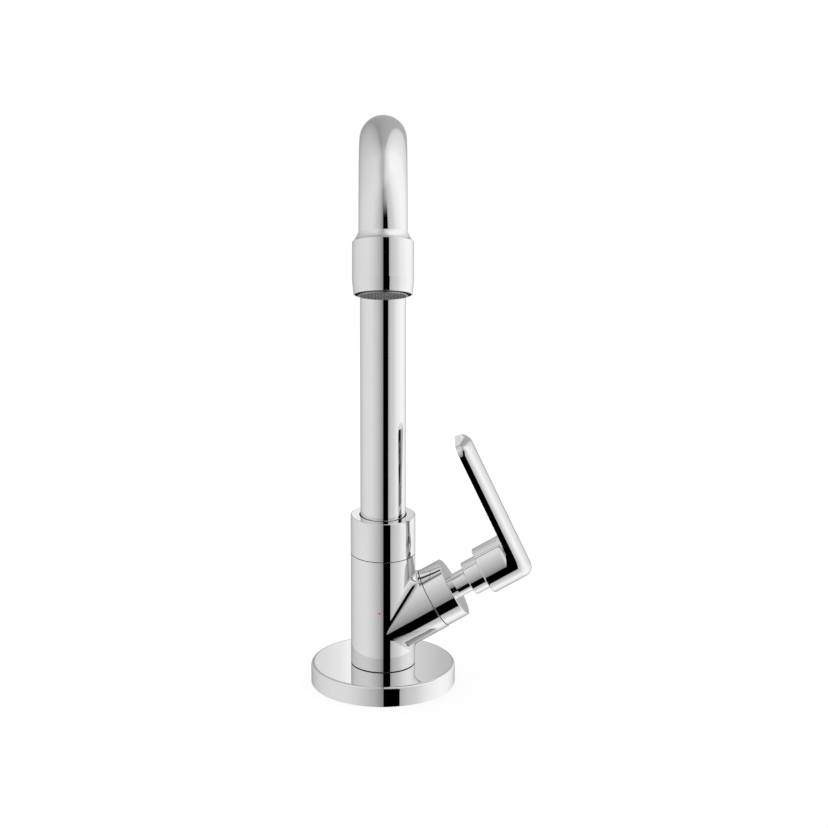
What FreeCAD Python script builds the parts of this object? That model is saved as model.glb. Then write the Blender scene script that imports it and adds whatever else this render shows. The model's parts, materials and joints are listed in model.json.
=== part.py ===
import FreeCAD, Part
import math
import os

from FreeCAD import Placement, Rotation, Vector

os.makedirs("parts", exist_ok=True)

# A deck-mounted kitchen pillar tap with a swan-neck spout and a quarter-turn side lever.
# Lengths are in millimetres and angles in degrees. The origin is the centre of the base's
# underside, on the counter. +Z runs up the column, the spout reaches towards -Y, and the
# branch that carries the lever leans up towards +X.

# Fits shared by all pieces
overrun = 6.0                  # how far a cut runs past the face that it opens
running_gap = 0.06             # radial play of a turning piece in its bearing
seat_gap = 0.05                # play between pieces that are screwed or pushed together
end_play = 0.1                 # play along the axis of a turning piece
edge_break = 0.25              # chamfer on turned edges
hole_play = 0.2                # radial play of a bolt-like piece in a clear hole

# Swan neck
tube_radius = 11.16
tube_wall = 1.1
bend_start_height = 237.2
bend_radius = 51.2
nozzle_tilt = 24.4             # of the outlet, away from straight down
leg_length = 1.5

# Base flange and its gasket
base_radius = 35.95
base_height = 10.2
base_edge_radius = 1.75
base_rim_width = 4.45
base_recess_depth = 6.0
base_boss_margin = 0.5         # of the boss past the column
base_boss_lift = 0.6           # the boss stays clear of the counter
gasket_width = 5.0
seat_ring_height = 0.7         # dark ring between flange and column
seat_ring_inset = 0.6

# Threaded shank and what clamps the tap to the counter
shank_radius = 10.4775         # half inch pipe thread, 20.955 across
shank_wall = 3.4775
shank_engagement = 13.0        # inside the body
shank_end_chamfer = 1.2
shank_tail_length = 17.0       # threaded end that the supply's nut takes
shank_relief_width = 1.5       # plain groove above that end
shank_relief_depth = 0.8
shank_spare_length = 0.3       # between the backnut and the groove
counter_thickness = 20.0       # the counter that the washers are shown clamped to
deck_rubber_overlap = 6.675    # of the rubber past the backnut's corners
deck_rubber_height = 2.5
deck_washer_inset = 2.0        # inside the rubber's rim
deck_washer_height = 1.5
backnut_wall = 4.5             # at the middle of its flats
backnut_height = 8.0

# Swivel joint in the top of the column, and the collar over it
bush_wall = 1.04
spigot_wall = 1.8
spigot_length = 6.2
column_wall = 1.95             # round the collar's spigot
socket_step = 0.8              # from the spigot's bore in to the foot's socket
socket_wall = 1.41             # between the socket and the valve's chamber
thrust_ring_height = 1.0
foot_height = 8.8
foot_shelf_height = 2.9        # under the end of the tube
foot_ring_groove_depth = 1.19
foot_ring_groove_width = 1.4
foot_ring_place_shares = (0.18, 0.7)
collar_height = 19.9
collar_edge_radius = 0.6
collar_tube_gap = 0.44         # between the collar's lip and the tube
collar_lip_height = 2.0
bush_lift = 0.6                # above the spout's foot

# Branch, measured along its own axis from the column's axis
branch_rise = 30.0             # angle above level
branch_lift = 18.6             # of its axis at the column, above the column's foot
branch_inset = 0.08            # of the branch's skin, under the column's
branch_free_length = 1.62      # from the crotch to the branch's end
branch_wall = 4.17
crotch_radius = 0.85           # fillet between the column and the branch

# Waterways in the body
inlet_radius = 6.0
inlet_overlap = 2.0            # past the branch's axis
seat_passage_radius = 4.5
outlet_port_radius = 3.5
outlet_port_offset_share = 0.57
outlet_port_depth = 9.0

# Ceramic valve
chamber_depth = 15.2
seat_gasket_height = 1.3
seat_gasket_width = 2.3
skirt_wall = 2.4
skirt_lift = 1.0               # of the housing, above the chamber's floor
disc_height = 3.0
disc_play = 0.1                # radial, in the housing
disc_window_radius_share = 0.247
disc_window_offset_share = 0.6
drive_slot_length_share = 1.29
drive_slot_width_share = 0.43
drive_slot_depth = 1.4
flow_gap = 1.6                 # between the moving disc and the spindle's flange
housing_window_share = 0.69    # of the flow gap
spindle_core_radius = 4.0
spindle_flange_inset = 0.7
spindle_flange_height = 1.3
spindle_journal_rise = 1.5
spindle_journal_spare = 0.9    # past the clip
spindle_ring_groove_width = 1.6
spindle_ring_groove_depth = 1.4
spindle_ring_place_shares = (0.27, 0.62)
spindle_end_spare = 0.7        # past the set screw
housing_flange_height = 3.0
housing_neck_wall = 2.94
housing_neck_height = 3.93
housing_ring_drop = 2.9        # under the flange
housing_ring_groove_width = 2.0
housing_ring_groove_depth = 1.8
clip_reach = 1.9
clip_height = 1.0
clip_groove_depth = 0.6
clip_opening = 5.0

# Bonnet sleeve over the valve
sleeve_joint_gap = 0.15
sleeve_step = 0.5              # under the column's radius
sleeve_wall = 1.95
sleeve_end_gap = 0.61          # between the spindle's shoulder and the sleeve's end
sleeve_end_wall = 2.0
sleeve_end_edge = 0.4

# Neck between the sleeve and the handle's hub
neck_play = 0.3                # radial, in the sleeve's end
stem_wall = 2.0
stem_length = 8.57             # that shows past the sleeve
step_rise = 2.75
step_length = 8.3
neck_spigot_rise = 0.95
neck_spigot_length = 4.3

# Handle: a round hub and a lever as wide as the hub, with a crowned outer face
hub_rise = 3.45                # past the neck's step
hub_length = 15.303            # on its axis, up to the lever's inner face
hub_edge_break = 0.5
lever_lean = 5.0               # outwards from square to the hub
lever_thickness = 7.665        # at the middle of its width
lever_side_stand = 0.1         # of its sides, past the hub
lever_length = 65.91           # from the hub's axis to the lever's end
lever_crown_radius = 27.0      # of the outer face, across the lever
lever_edge_radius = 4.4        # round the outer face
lever_tip_radius = 4.6         # of the tip's corners, seen from outside
foot_round_lift = 0.12         # of the rounded foot, past the crown that cuts it
lever_root_radius = 2.9        # in the corner between the hub and the lever's inner face
lever_root_sink = 0.05         # of the corner's ends, under both faces
lever_root_depth = 0.5         # of the corner's filling, into the lever
set_screw_margin = 0.3         # from the neck's spigot
set_screw_radius = 2.5
set_screw_length = 5.0
plug_rim = 0.4
plug_height = 1.2

# Nozzle, measured along its own axis from its upper end
nozzle_lip = 0.29
nozzle_cove_length = 4.1
nozzle_cove_radius_share = 0.37
nozzle_cove_length_share = 0.53
nozzle_wall = 2.0
nozzle_straight_length = 17.8
nozzle_taper_length = 6.3
nozzle_rim = 1.3
nozzle_end_edge = 0.2
nozzle_mouth_wall = 0.5        # at the rim, round the groove that leaves the aerator free
nozzle_mouth_depth = 3.0
nozzle_way_step = 0.26
tube_entry = 8.0               # length of tube inside the nozzle

# Aerator cartridge
aerator_pocket_step = 0.84     # past the tube's radius
aerator_pocket_length = 12.7
aerator_washer_height = 2.0
aerator_washer_width = 3.35
aerator_stand = 0.6            # of the shell, past the nozzle's rim
aerator_shell_wall = 1.0
aerator_nose_wall = 0.4        # of the shell where it leaves the thread
aerator_lip_height = 0.25
aerator_lip_width = 0.2
screen_height = 0.45
screen_hole = 1.0
screen_pitch = 1.45
screen_rim = 0.9
core_height = 6.4
core_hole_radius = 1.1
core_circles = ((0.697, 14), (0.404, 8))   # share of the core's radius, and holes

# Index dot on the front of the column
dot_radius = 0.6
dot_lift = 30.6                # above the column's foot
dot_depth = 1.0
dot_turn = 6.5                 # away from the front, towards -X


# Radii worked out from the sizes above, from the tube outwards
RISE_SIN = math.sin(math.radians(branch_rise))
RISE_COS = math.cos(math.radians(branch_rise))
LEAN_SIN = math.sin(math.radians(lever_lean))
LEAN_COS = math.cos(math.radians(lever_lean))
tube_bore_radius = tube_radius - tube_wall
collar_lip_radius = tube_radius + collar_tube_gap
collar_bore_radius = tube_radius + bush_wall
spigot_radius = collar_bore_radius + spigot_wall
body_radius = spigot_radius + seat_gap + column_wall
socket_radius = spigot_radius - socket_step
foot_radius = socket_radius - running_gap
foot_bore_radius = tube_bore_radius
shank_bore_radius = shank_radius - shank_wall
base_recess_radius = base_radius - base_rim_width
base_boss_radius = body_radius + base_boss_margin
branch_radius = body_radius - branch_inset
chamber_radius = branch_radius - branch_wall
housing_radius = chamber_radius - seat_gap
disc_bore_radius = housing_radius - skirt_wall
disc_radius = disc_bore_radius - disc_play
sleeve_radius = body_radius - sleeve_step
sleeve_bore_radius = sleeve_radius - sleeve_wall
housing_flange_radius = sleeve_bore_radius - seat_gap
spindle_journal_radius = spindle_core_radius + spindle_journal_rise
spindle_flange_radius = disc_bore_radius - spindle_flange_inset
spindle_bore_radius = spindle_core_radius + seat_gap
housing_neck_radius = spindle_journal_radius + running_gap + housing_neck_wall
clip_inner_radius = spindle_journal_radius - clip_groove_depth
clip_radius = spindle_journal_radius + clip_reach
stem_radius = spindle_bore_radius + stem_wall
step_radius = stem_radius + step_rise
neck_spigot_radius = stem_radius + neck_spigot_rise
hub_radius = step_radius + hub_rise
plug_radius = set_screw_radius + plug_rim
nozzle_top_radius = tube_radius + nozzle_lip
nozzle_way_radius = tube_bore_radius - nozzle_way_step
aerator_pocket_radius = tube_radius + aerator_pocket_step
nozzle_radius = aerator_pocket_radius + nozzle_wall
nozzle_end_radius = aerator_pocket_radius + nozzle_rim
shell_radius = aerator_pocket_radius - seat_gap
shell_bore_radius = shell_radius - aerator_shell_wall
shell_nose_radius = shell_bore_radius + aerator_nose_wall
nozzle_mouth_radius = nozzle_end_radius - nozzle_mouth_wall
aerator_lip_radius = shell_bore_radius - aerator_lip_width
insert_radius = shell_bore_radius - seat_gap
backnut_radius = shank_radius + seat_gap + backnut_wall
backnut_corner_radius = backnut_radius * 2.0 / math.sqrt(3.0)
deck_rubber_radius = backnut_corner_radius + deck_rubber_overlap
deck_washer_radius = deck_rubber_radius - deck_washer_inset

# Heights worked out along the column
rubber_top = -counter_thickness
washer_top = rubber_top - deck_rubber_height
nut_top = washer_top - deck_washer_height
nut_bottom = nut_top - backnut_height
relief_top = nut_bottom - shank_spare_length
tail_top = relief_top - shank_relief_width
tail_bottom = tail_top - shank_tail_length
shank_bottom = tail_bottom - shank_end_chamfer
body_bottom = base_height + seat_ring_height
branch_crossing = body_bottom + branch_lift
shank_top = body_bottom + shank_engagement
inlet_top = branch_crossing + inlet_overlap
chamber_crest = (chamber_radius + socket_radius * RISE_SIN) / RISE_COS
socket_floor = branch_crossing + chamber_crest + socket_wall
thrust_ring_top = socket_floor + thrust_ring_height
foot_bottom = thrust_ring_top + end_play
foot_top = foot_bottom + foot_height
tube_bottom = foot_bottom + foot_shelf_height
spigot_bottom = foot_top + end_play
body_top = spigot_bottom + spigot_length
collar_top = body_top + collar_height
collar_lip_bottom = collar_top - collar_lip_height
dot_height = body_bottom + dot_lift

# Places worked out along the branch
branch_length = (body_radius + branch_radius * RISE_SIN) / RISE_COS + branch_free_length
chamber_floor = branch_length - chamber_depth
housing_bottom = chamber_floor + skirt_lift
fixed_disc_start = chamber_floor + seat_gasket_height
fixed_disc_end = fixed_disc_start + disc_height
moving_disc_start = fixed_disc_end + seat_gap
spindle_start = moving_disc_start + disc_height
spindle_flange_start = spindle_start + flow_gap
spindle_flange_end = spindle_flange_start + spindle_flange_height
housing_shoulder = spindle_flange_end + end_play
housing_ring_place = branch_length - housing_ring_drop
housing_flange_end = branch_length + housing_flange_height
housing_top = housing_flange_end + housing_neck_height
clip_start = housing_top + end_play
clip_end = clip_start + clip_height
spindle_journal_end = clip_end + spindle_journal_spare
sleeve_start = branch_length + sleeve_joint_gap
sleeve_wall_start = spindle_journal_end + sleeve_end_gap
sleeve_end = sleeve_wall_start + sleeve_end_wall
step_start = sleeve_end + stem_length
hub_start = step_start + step_length
neck_spigot_end = hub_start + neck_spigot_length
set_screw_place = neck_spigot_end + set_screw_margin + set_screw_radius
spindle_end = set_screw_place + set_screw_radius + spindle_end_spare
lever_inner = hub_start + hub_length
lever_outer = lever_inner + lever_thickness / LEAN_COS

# Places worked out across the lever, outwards from its inner face
crown_axis = lever_thickness - lever_crown_radius
lever_half_width = hub_radius + lever_side_stand
edge_across = lever_half_width - lever_edge_radius
foot_across = hub_radius - lever_edge_radius
edge_span = lever_crown_radius - lever_edge_radius
edge_place = crown_axis + math.sqrt(edge_span ** 2 - edge_across ** 2)
lever_foot_top = lever_thickness + foot_round_lift
foot_round_place = lever_inner + (lever_foot_top - lever_edge_radius - foot_across * LEAN_SIN) / LEAN_COS

# Places worked out along the nozzle
nozzle_barrel_end = nozzle_cove_length + nozzle_straight_length
nozzle_length = nozzle_barrel_end + nozzle_taper_length
aerator_pocket_start = nozzle_length - aerator_pocket_length
shell_start = aerator_pocket_start + aerator_washer_height
mouth_start = nozzle_length - nozzle_mouth_depth
shell_end = nozzle_length + aerator_stand
screen_end = shell_end - aerator_lip_height
screen_start = screen_end - screen_height
core_start = screen_start - core_height

UP = Vector(0, 0, 1)
BEND_TURN = 180.0 - nozzle_tilt
COLUMN = Placement()
BRANCH = Placement(Vector(0, 0, branch_crossing), Rotation(Vector(0, 1, 0), 90.0 - branch_rise))
LEVER_TURN = Rotation(Vector(0, 1, 0), lever_lean - 90.0)
LEVER = BRANCH.multiply(Placement(Vector(0, 0, lever_inner), LEVER_TURN))
CROWN = LEVER.multiply(Placement(Vector(crown_axis, 0, 0), Rotation()))


def bend_point(turn):
    """Point of the swan neck's centre line after a turn in degrees round its bend."""
    angle = math.radians(turn)
    reach = bend_radius * (math.cos(angle) - 1.0)
    return Vector(0, reach, bend_start_height + bend_radius * math.sin(angle))


OUTLET_TURN = Rotation(Vector(1, 0, 0), BEND_TURN)
OUTLET_AXIS = OUTLET_TURN.multVec(UP)
NOZZLE = Placement(bend_point(BEND_TURN) + OUTLET_AXIS * leg_length, OUTLET_TURN)


def placed(shape, frame):
    """The shape carried from its own axis to a frame of the tap."""
    moved = shape.copy()
    moved.Placement = frame.multiply(shape.Placement)
    return moved


def outlined(outline, spot):
    """Face inside a closed outline of pairs, each put in its place by the given function.

    An entry that holds two pairs is an arc: its middle and its end.
    """
    edges = []
    here = spot(outline[0])
    for entry in list(outline[1:]) + [outline[0]]:
        if isinstance(entry[0], tuple):
            there = spot(entry[1])
            edges.append(Part.Arc(here, spot(entry[0]), there).toShape())
        else:
            there = spot(entry)
            edges.append(Part.LineSegment(here, there).toShape())
        here = there
    return Part.Face(Part.Wire(edges))


def turned(outline, frame=COLUMN):
    """Solid turned about a frame's axis from a closed outline of (radius, height) pairs."""
    face = outlined(outline, lambda pair: Vector(pair[0], 0, pair[1]))
    return placed(face.revolve(Vector(), UP, 360.0), frame)


def on_circle(middle, radius, angle):
    """Pair at an angle in degrees on a circle, counted from its first direction to its second."""
    turn = math.radians(angle)
    return (middle[0] + radius * math.cos(turn), middle[1] + radius * math.sin(turn))


def rod(radius, low, high, frame=COLUMN):
    """Round bar on a frame's axis between two heights."""
    return placed(Part.makeCylinder(radius, high - low, Vector(0, 0, low), UP), frame)


def ring(outer, inner, low, high, frame=COLUMN):
    """Square-edged ring on a frame's axis."""
    return turned([(inner, low), (outer, low), (outer, high), (inner, high)], frame)


def broken_ring(outer, inner, low, high, edge, frame=COLUMN):
    """Ring whose two outer edges have a small chamfer."""
    outline = [(inner, low), (outer - edge, low), (outer, low + edge), (outer, high - edge)]
    outline += [(outer - edge, high), (inner, high)]
    return turned(outline, frame)


def seal(groove_floor, section, height, frame=COLUMN):
    """O-ring that lies on a groove's floor."""
    half = section / 2
    return placed(Part.makeTorus(groove_floor + half, half, Vector(0, 0, height), UP), frame)


def cross_hole(radius, height, start, end, direction, frame=COLUMN):
    """Round bar square to a frame's axis, from one distance to another along a direction."""
    bar = Part.makeCylinder(radius, end - start, direction * start + UP * height, direction)
    return placed(bar, frame)


def base_flange():
    """Turned flange with a rounded rim, hollow below, with a boss round the shank."""
    bore = shank_radius + hole_play
    corner = base_edge_radius * (1.0 - math.sqrt(0.5))
    outline = [
        (bore, base_boss_lift),
        (base_boss_radius, base_boss_lift),
        (base_boss_radius, base_recess_depth),
        (base_recess_radius, base_recess_depth),
        (base_recess_radius, 0),
        (base_radius, 0),
        (base_radius, base_height - base_edge_radius),
        ((base_radius - corner, base_height - corner), (base_radius - base_edge_radius, base_height)),
        (bore, base_height),
    ]
    return turned(outline)


def base_gasket():
    outer = base_recess_radius - seat_gap
    return ring(outer, outer - gasket_width, 0, base_recess_depth)


def body_seat_ring():
    return ring(body_radius - seat_ring_inset, shank_radius + seat_gap, base_height, body_bottom)


def mounting_shank():
    """Hollow threaded shank, from the counter's underside up into the body."""
    relief = shank_radius - shank_relief_depth
    outline = [
        (shank_bore_radius, shank_bottom),
        (shank_radius - shank_end_chamfer, shank_bottom),
        (shank_radius, tail_bottom),
        (shank_radius, tail_top),
        (relief, tail_top),
        (relief, relief_top),
        (shank_radius, relief_top),
        (shank_radius, shank_top),
        (shank_bore_radius, shank_top),
    ]
    return turned(outline)


def deck_rubber():
    return ring(deck_rubber_radius, shank_radius + seat_gap, washer_top, rubber_top)


def deck_washer():
    return ring(deck_washer_radius, shank_radius + seat_gap, nut_top, washer_top)


def backnut():
    """Hexagon nut under the counter."""
    angles = [math.radians(60.0 * side) for side in range(7)]
    points = [Vector(backnut_corner_radius * math.cos(a), backnut_corner_radius * math.sin(a), nut_bottom)
              for a in angles]
    hexagon = Part.Face(Part.makePolygon(points)).extrude(UP * backnut_height)
    return hexagon.cut(rod(shank_radius + seat_gap, nut_bottom - overrun, nut_top + overrun))


def dot_axis():
    """Outward direction through the index dot."""
    return Rotation(UP, -dot_turn).multVec(Vector(0, -1, 0))


def tap_body():
    """Column and branch in one casting, with its waterways, valve chamber and swivel socket."""
    column = broken_ring(body_radius, 0, body_bottom, body_top, edge_break)
    branch = turned([
        (0, 0),
        (branch_radius, 0),
        (branch_radius, branch_length - edge_break),
        (branch_radius - edge_break, branch_length),
        (0, branch_length),
    ], BRANCH)
    casting = column.fuse(branch).removeSplitter()
    creases = [edge for edge in casting.Edges if isinstance(edge.Curve, Part.BSplineCurve)]
    casting = casting.makeFillet(crotch_radius, creases)
    bores = [
        rod(shank_radius + seat_gap, body_bottom - overrun, shank_top),
        rod(inlet_radius, body_bottom, inlet_top),
        rod(seat_passage_radius, 0, chamber_floor + overrun, BRANCH),
        rod(chamber_radius, chamber_floor, branch_length + overrun, BRANCH),
        rod(socket_radius, socket_floor, body_top + overrun),
        rod(spigot_radius + seat_gap, spigot_bottom, body_top + overrun),
        Part.makeCylinder(outlet_port_radius, outlet_port_depth + overrun,
                          Vector(socket_radius * outlet_port_offset_share, 0,
                                 socket_floor - outlet_port_depth), UP),
        cross_hole(dot_radius + seat_gap, dot_height, body_radius - dot_depth,
                   body_radius + overrun, dot_axis()),
    ]
    for bore in bores:
        casting = casting.cut(bore)
    return casting


def index_dot():
    """Small round inlay, flush with the column."""
    pin = cross_hole(dot_radius, dot_height, body_radius - dot_depth, body_radius + overrun, dot_axis())
    return pin.common(rod(body_radius, body_bottom, body_top))


def spout_collar():
    """Collar screwed into the column over the spout's foot, with a lip round the tube."""
    corner = collar_edge_radius * (1.0 - math.sqrt(0.5))
    outline = [
        (collar_bore_radius, spigot_bottom + seat_gap),
        (spigot_radius, spigot_bottom + seat_gap),
        (spigot_radius, body_top),
        (body_radius - edge_break, body_top),
        (body_radius, body_top + edge_break),
        (body_radius, collar_top - collar_edge_radius),
        ((body_radius - corner, collar_top - corner), (body_radius - collar_edge_radius, collar_top)),
        (collar_lip_radius, collar_top),
        (collar_lip_radius, collar_lip_bottom),
        (collar_bore_radius, collar_lip_bottom),
    ]
    return turned(outline)


def tube_bush():
    return ring(collar_bore_radius - seat_gap, tube_radius + running_gap,
                foot_top + bush_lift, collar_lip_bottom)


def foot_thrust_ring():
    return ring(socket_radius - seat_gap, foot_bore_radius, socket_floor, thrust_ring_top)


def spout_foot():
    """Captive foot of the spout: a sleeve round the tube's end, with two seal grooves."""
    foot = turned([
        (foot_bore_radius, foot_bottom),
        (foot_radius, foot_bottom),
        (foot_radius, foot_top),
        (tube_radius + seat_gap, foot_top),
        (tube_radius + seat_gap, tube_bottom),
        (foot_bore_radius, tube_bottom),
    ])
    floor = foot_radius - foot_ring_groove_depth
    for share in foot_ring_place_shares:
        low = foot_bottom + foot_height * share
        foot = foot.cut(ring(foot_radius + overrun, floor, low, low + foot_ring_groove_width))
    return foot


def foot_o_rings():
    floor = foot_radius - foot_ring_groove_depth
    middle = foot_bottom + foot_ring_groove_width / 2
    return Part.makeCompound([seal(floor, foot_ring_groove_depth, middle + foot_height * share)
                              for share in foot_ring_place_shares])


def spout_tube():
    """Swan-neck tube: up the column's axis, over the bend and down into the nozzle."""
    start = UP * tube_bottom
    bend_start = bend_point(0)
    bend_end = bend_point(BEND_TURN)
    end = bend_end + OUTLET_AXIS * (leg_length + tube_entry)
    path = Part.Wire([
        Part.LineSegment(start, bend_start).toShape(),
        Part.Arc(bend_start, bend_point(BEND_TURN / 2), bend_end).toShape(),
        Part.LineSegment(bend_end, end).toShape(),
    ])
    walls = [path.makePipeShell([Part.Wire(Part.makeCircle(radius, start, UP))], True, False)
             for radius in (tube_radius, tube_bore_radius)]
    return walls[0].cut(walls[1])


def nozzle():
    """Nozzle sleeve: coved shoulder, plain barrel and tapered end with the aerator's pocket."""
    socket = tube_radius + seat_gap
    cove_radius = nozzle_top_radius + (nozzle_radius - nozzle_top_radius) * nozzle_cove_radius_share
    cove_middle = nozzle_cove_length * nozzle_cove_length_share
    outline = [
        (socket, 0),
        (nozzle_top_radius, 0),
        ((cove_radius, cove_middle), (nozzle_radius, nozzle_cove_length)),
        (nozzle_radius, nozzle_barrel_end),
        (nozzle_end_radius, nozzle_length - nozzle_end_edge),
        (nozzle_end_radius - nozzle_end_edge, nozzle_length),
        (nozzle_mouth_radius, nozzle_length),
        (nozzle_mouth_radius, mouth_start),
        (aerator_pocket_radius, mouth_start),
        (aerator_pocket_radius, aerator_pocket_start),
        (nozzle_way_radius, aerator_pocket_start),
        (nozzle_way_radius, tube_entry),
        (socket, tube_entry),
    ]
    return turned(outline, NOZZLE)


def aerator_washer():
    return ring(shell_radius, shell_radius - aerator_washer_width, aerator_pocket_start, shell_start, NOZZLE)


def aerator_shell():
    """Threaded shell with a narrower nose and an inward lip that holds the screen and the core."""
    outline = [
        (shell_bore_radius, shell_start),
        (shell_radius, shell_start),
        (shell_radius, mouth_start),
        (shell_nose_radius, mouth_start),
        (shell_nose_radius, shell_end),
        (aerator_lip_radius, shell_end),
        (aerator_lip_radius, screen_end),
        (shell_bore_radius, screen_end),
    ]
    return turned(outline, NOZZLE)


def circle_wire(radius):
    return Part.Wire(Part.makeCircle(radius))


def holed_disc(radius, low, high, holes):
    """Disc of the nozzle's axis with holes through it, from the outlines of the holes."""
    face = Part.makeFace([circle_wire(radius)] + holes, "Part::FaceMakerBullseye")
    disc = face.extrude(UP * (high - low))
    disc.translate(UP * low)
    return placed(disc, NOZZLE)


def aerator_core():
    """Insert with two circles of jet holes."""
    holes = []
    for share, count in core_circles:
        distance = insert_radius * share
        for index in range(count):
            angle = 2.0 * math.pi * index / count
            centre = Vector(distance * math.cos(angle), distance * math.sin(angle), 0)
            holes.append(Part.Wire(Part.makeCircle(core_hole_radius, centre)))
    return holed_disc(insert_radius, core_start, screen_start, holes)


def aerator_screen():
    """Flat net of square gaps inside a plain rim."""
    half = screen_hole / 2
    reach = insert_radius - screen_rim
    span = int(reach / screen_pitch)
    holes = []
    for row in range(-span, span + 1):
        for column in range(-span, span + 1):
            x, y = column * screen_pitch, row * screen_pitch
            if math.hypot(abs(x) + half, abs(y) + half) < reach:
                corners = [Vector(x - half, y - half, 0), Vector(x + half, y - half, 0),
                           Vector(x + half, y + half, 0), Vector(x - half, y + half, 0)]
                holes.append(Part.makePolygon(corners + [corners[0]]))
    return holed_disc(insert_radius, screen_start, screen_end, holes)


def bonnet_sleeve():
    """Cap over the valve, with a hole for the neck in its flat end."""
    hole = stem_radius + neck_play
    outline = [
        (sleeve_bore_radius, sleeve_start),
        (sleeve_radius - edge_break, sleeve_start),
        (sleeve_radius, sleeve_start + edge_break),
        (sleeve_radius, sleeve_end - sleeve_end_edge),
        (sleeve_radius - sleeve_end_edge, sleeve_end),
        (hole, sleeve_end),
        (hole, sleeve_wall_start),
        (sleeve_bore_radius, sleeve_wall_start),
    ]
    return turned(outline, BRANCH)


def valve_housing():
    """Headwork housing: skirt round the discs, seal groove, flange and spindle bearing."""
    bearing = spindle_journal_radius + running_gap
    housing = turned([
        (disc_bore_radius, housing_bottom),
        (housing_radius, housing_bottom),
        (housing_radius, branch_length),
        (housing_flange_radius, branch_length),
        (housing_flange_radius, housing_flange_end),
        (housing_neck_radius, housing_flange_end),
        (housing_neck_radius, housing_top),
        (bearing, housing_top),
        (bearing, housing_shoulder),
        (disc_bore_radius, housing_shoulder),
    ], BRANCH)
    reach = housing_radius + overrun
    housing = housing.cut(ring(reach, housing_radius - housing_ring_groove_depth, housing_ring_place,
                               housing_ring_place + housing_ring_groove_width, BRANCH))
    window_place = (spindle_start + spindle_flange_start) / 2
    window_radius = flow_gap * housing_window_share
    for direction in (Vector(1, 0, 0), Vector(0, 1, 0)):
        housing = housing.cut(cross_hole(window_radius, window_place, -reach, reach, direction, BRANCH))
    return housing


def housing_o_ring():
    floor = housing_radius - housing_ring_groove_depth
    middle = housing_ring_place + housing_ring_groove_width / 2
    return seal(floor, housing_ring_groove_depth, middle, BRANCH)


def seat_gasket():
    return ring(disc_radius, disc_radius - seat_gasket_width, chamber_floor, fixed_disc_start, BRANCH)


def disc_windows(start, end, direction):
    """Two round bars through a disc, on both sides of its axis."""
    bars = []
    radius = disc_bore_radius * disc_window_radius_share
    for side in (-1, 1):
        offset = disc_bore_radius * disc_window_offset_share * side
        centre = direction * offset + UP * (start - overrun)
        bars.append(Part.makeCylinder(radius, end - start + overrun + overrun, centre, UP))
    return placed(Part.makeCompound(bars), BRANCH)


def fixed_ceramic_disc():
    disc = rod(disc_radius, fixed_disc_start, fixed_disc_end, BRANCH)
    return disc.cut(disc_windows(fixed_disc_start, fixed_disc_end, Vector(0, 1, 0)))


def drive_tongue(play):
    """Bar across the spindle's end that turns the moving disc."""
    length = disc_bore_radius * drive_slot_length_share + play + play
    width = disc_bore_radius * drive_slot_width_share + play + play
    corner = Vector(-width / 2, -length / 2, spindle_start - drive_slot_depth)
    return placed(Part.makeBox(width, length, drive_slot_depth + end_play, corner), BRANCH)


def moving_ceramic_disc():
    disc = rod(disc_radius, moving_disc_start, spindle_start, BRANCH)
    disc = disc.cut(disc_windows(moving_disc_start, spindle_start, Vector(1, 0, 0)))
    return disc.cut(drive_tongue(seat_gap))


def spindle_ring_places():
    """Where the spindle's seal grooves start, inside the housing's bearing."""
    return [housing_shoulder + (housing_top - housing_shoulder) * share
            for share in spindle_ring_place_shares]


def valve_spindle():
    """Spindle: drive tongue, thrust flange, bearing journal with grooves, and plain end."""
    spindle = turned([
        (0, spindle_start),
        (spindle_core_radius, spindle_start),
        (spindle_core_radius, spindle_flange_start),
        (spindle_flange_radius, spindle_flange_start),
        (spindle_flange_radius, spindle_flange_end),
        (spindle_journal_radius, spindle_flange_end),
        (spindle_journal_radius, spindle_journal_end),
        (spindle_core_radius, spindle_journal_end),
        (spindle_core_radius, spindle_end),
        (0, spindle_end),
    ], BRANCH)
    tongue = drive_tongue(0).common(rod(spindle_flange_radius, spindle_start - overrun,
                                        spindle_flange_start, BRANCH))
    spindle = spindle.fuse(tongue)
    clear = spindle_journal_radius + overrun
    floor = spindle_journal_radius - spindle_ring_groove_depth
    for place in spindle_ring_places():
        spindle = spindle.cut(ring(clear, floor, place, place + spindle_ring_groove_width, BRANCH))
    return spindle.cut(ring(clear, clip_inner_radius, clip_start, clip_end, BRANCH))


def spindle_o_rings():
    floor = spindle_journal_radius - spindle_ring_groove_depth
    middle = spindle_ring_groove_width / 2
    return Part.makeCompound([seal(floor, spindle_ring_groove_depth, place + middle, BRANCH)
                              for place in spindle_ring_places()])


def spindle_clip():
    """Open spring clip in the spindle's groove, above the housing."""
    clip = ring(clip_radius, clip_inner_radius, clip_start, clip_end, BRANCH)
    corner = Vector(0, -clip_opening / 2, clip_start - overrun)
    opening = Part.makeBox(clip_radius + overrun, clip_opening, clip_height + overrun + overrun, corner)
    return clip.cut(placed(opening, BRANCH))


def handle_neck():
    """Stem and step between the sleeve and the hub, pushed over the spindle's end."""
    outline = [
        (spindle_bore_radius, spindle_journal_end),
        (stem_radius, spindle_journal_end),
        (stem_radius, step_start),
        (step_radius - edge_break, step_start),
        (step_radius, step_start + edge_break),
        (step_radius, hub_start),
        (neck_spigot_radius, hub_start),
        (neck_spigot_radius, neck_spigot_end),
        (spindle_bore_radius, neck_spigot_end),
    ]
    return turned(outline, BRANCH)


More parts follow.
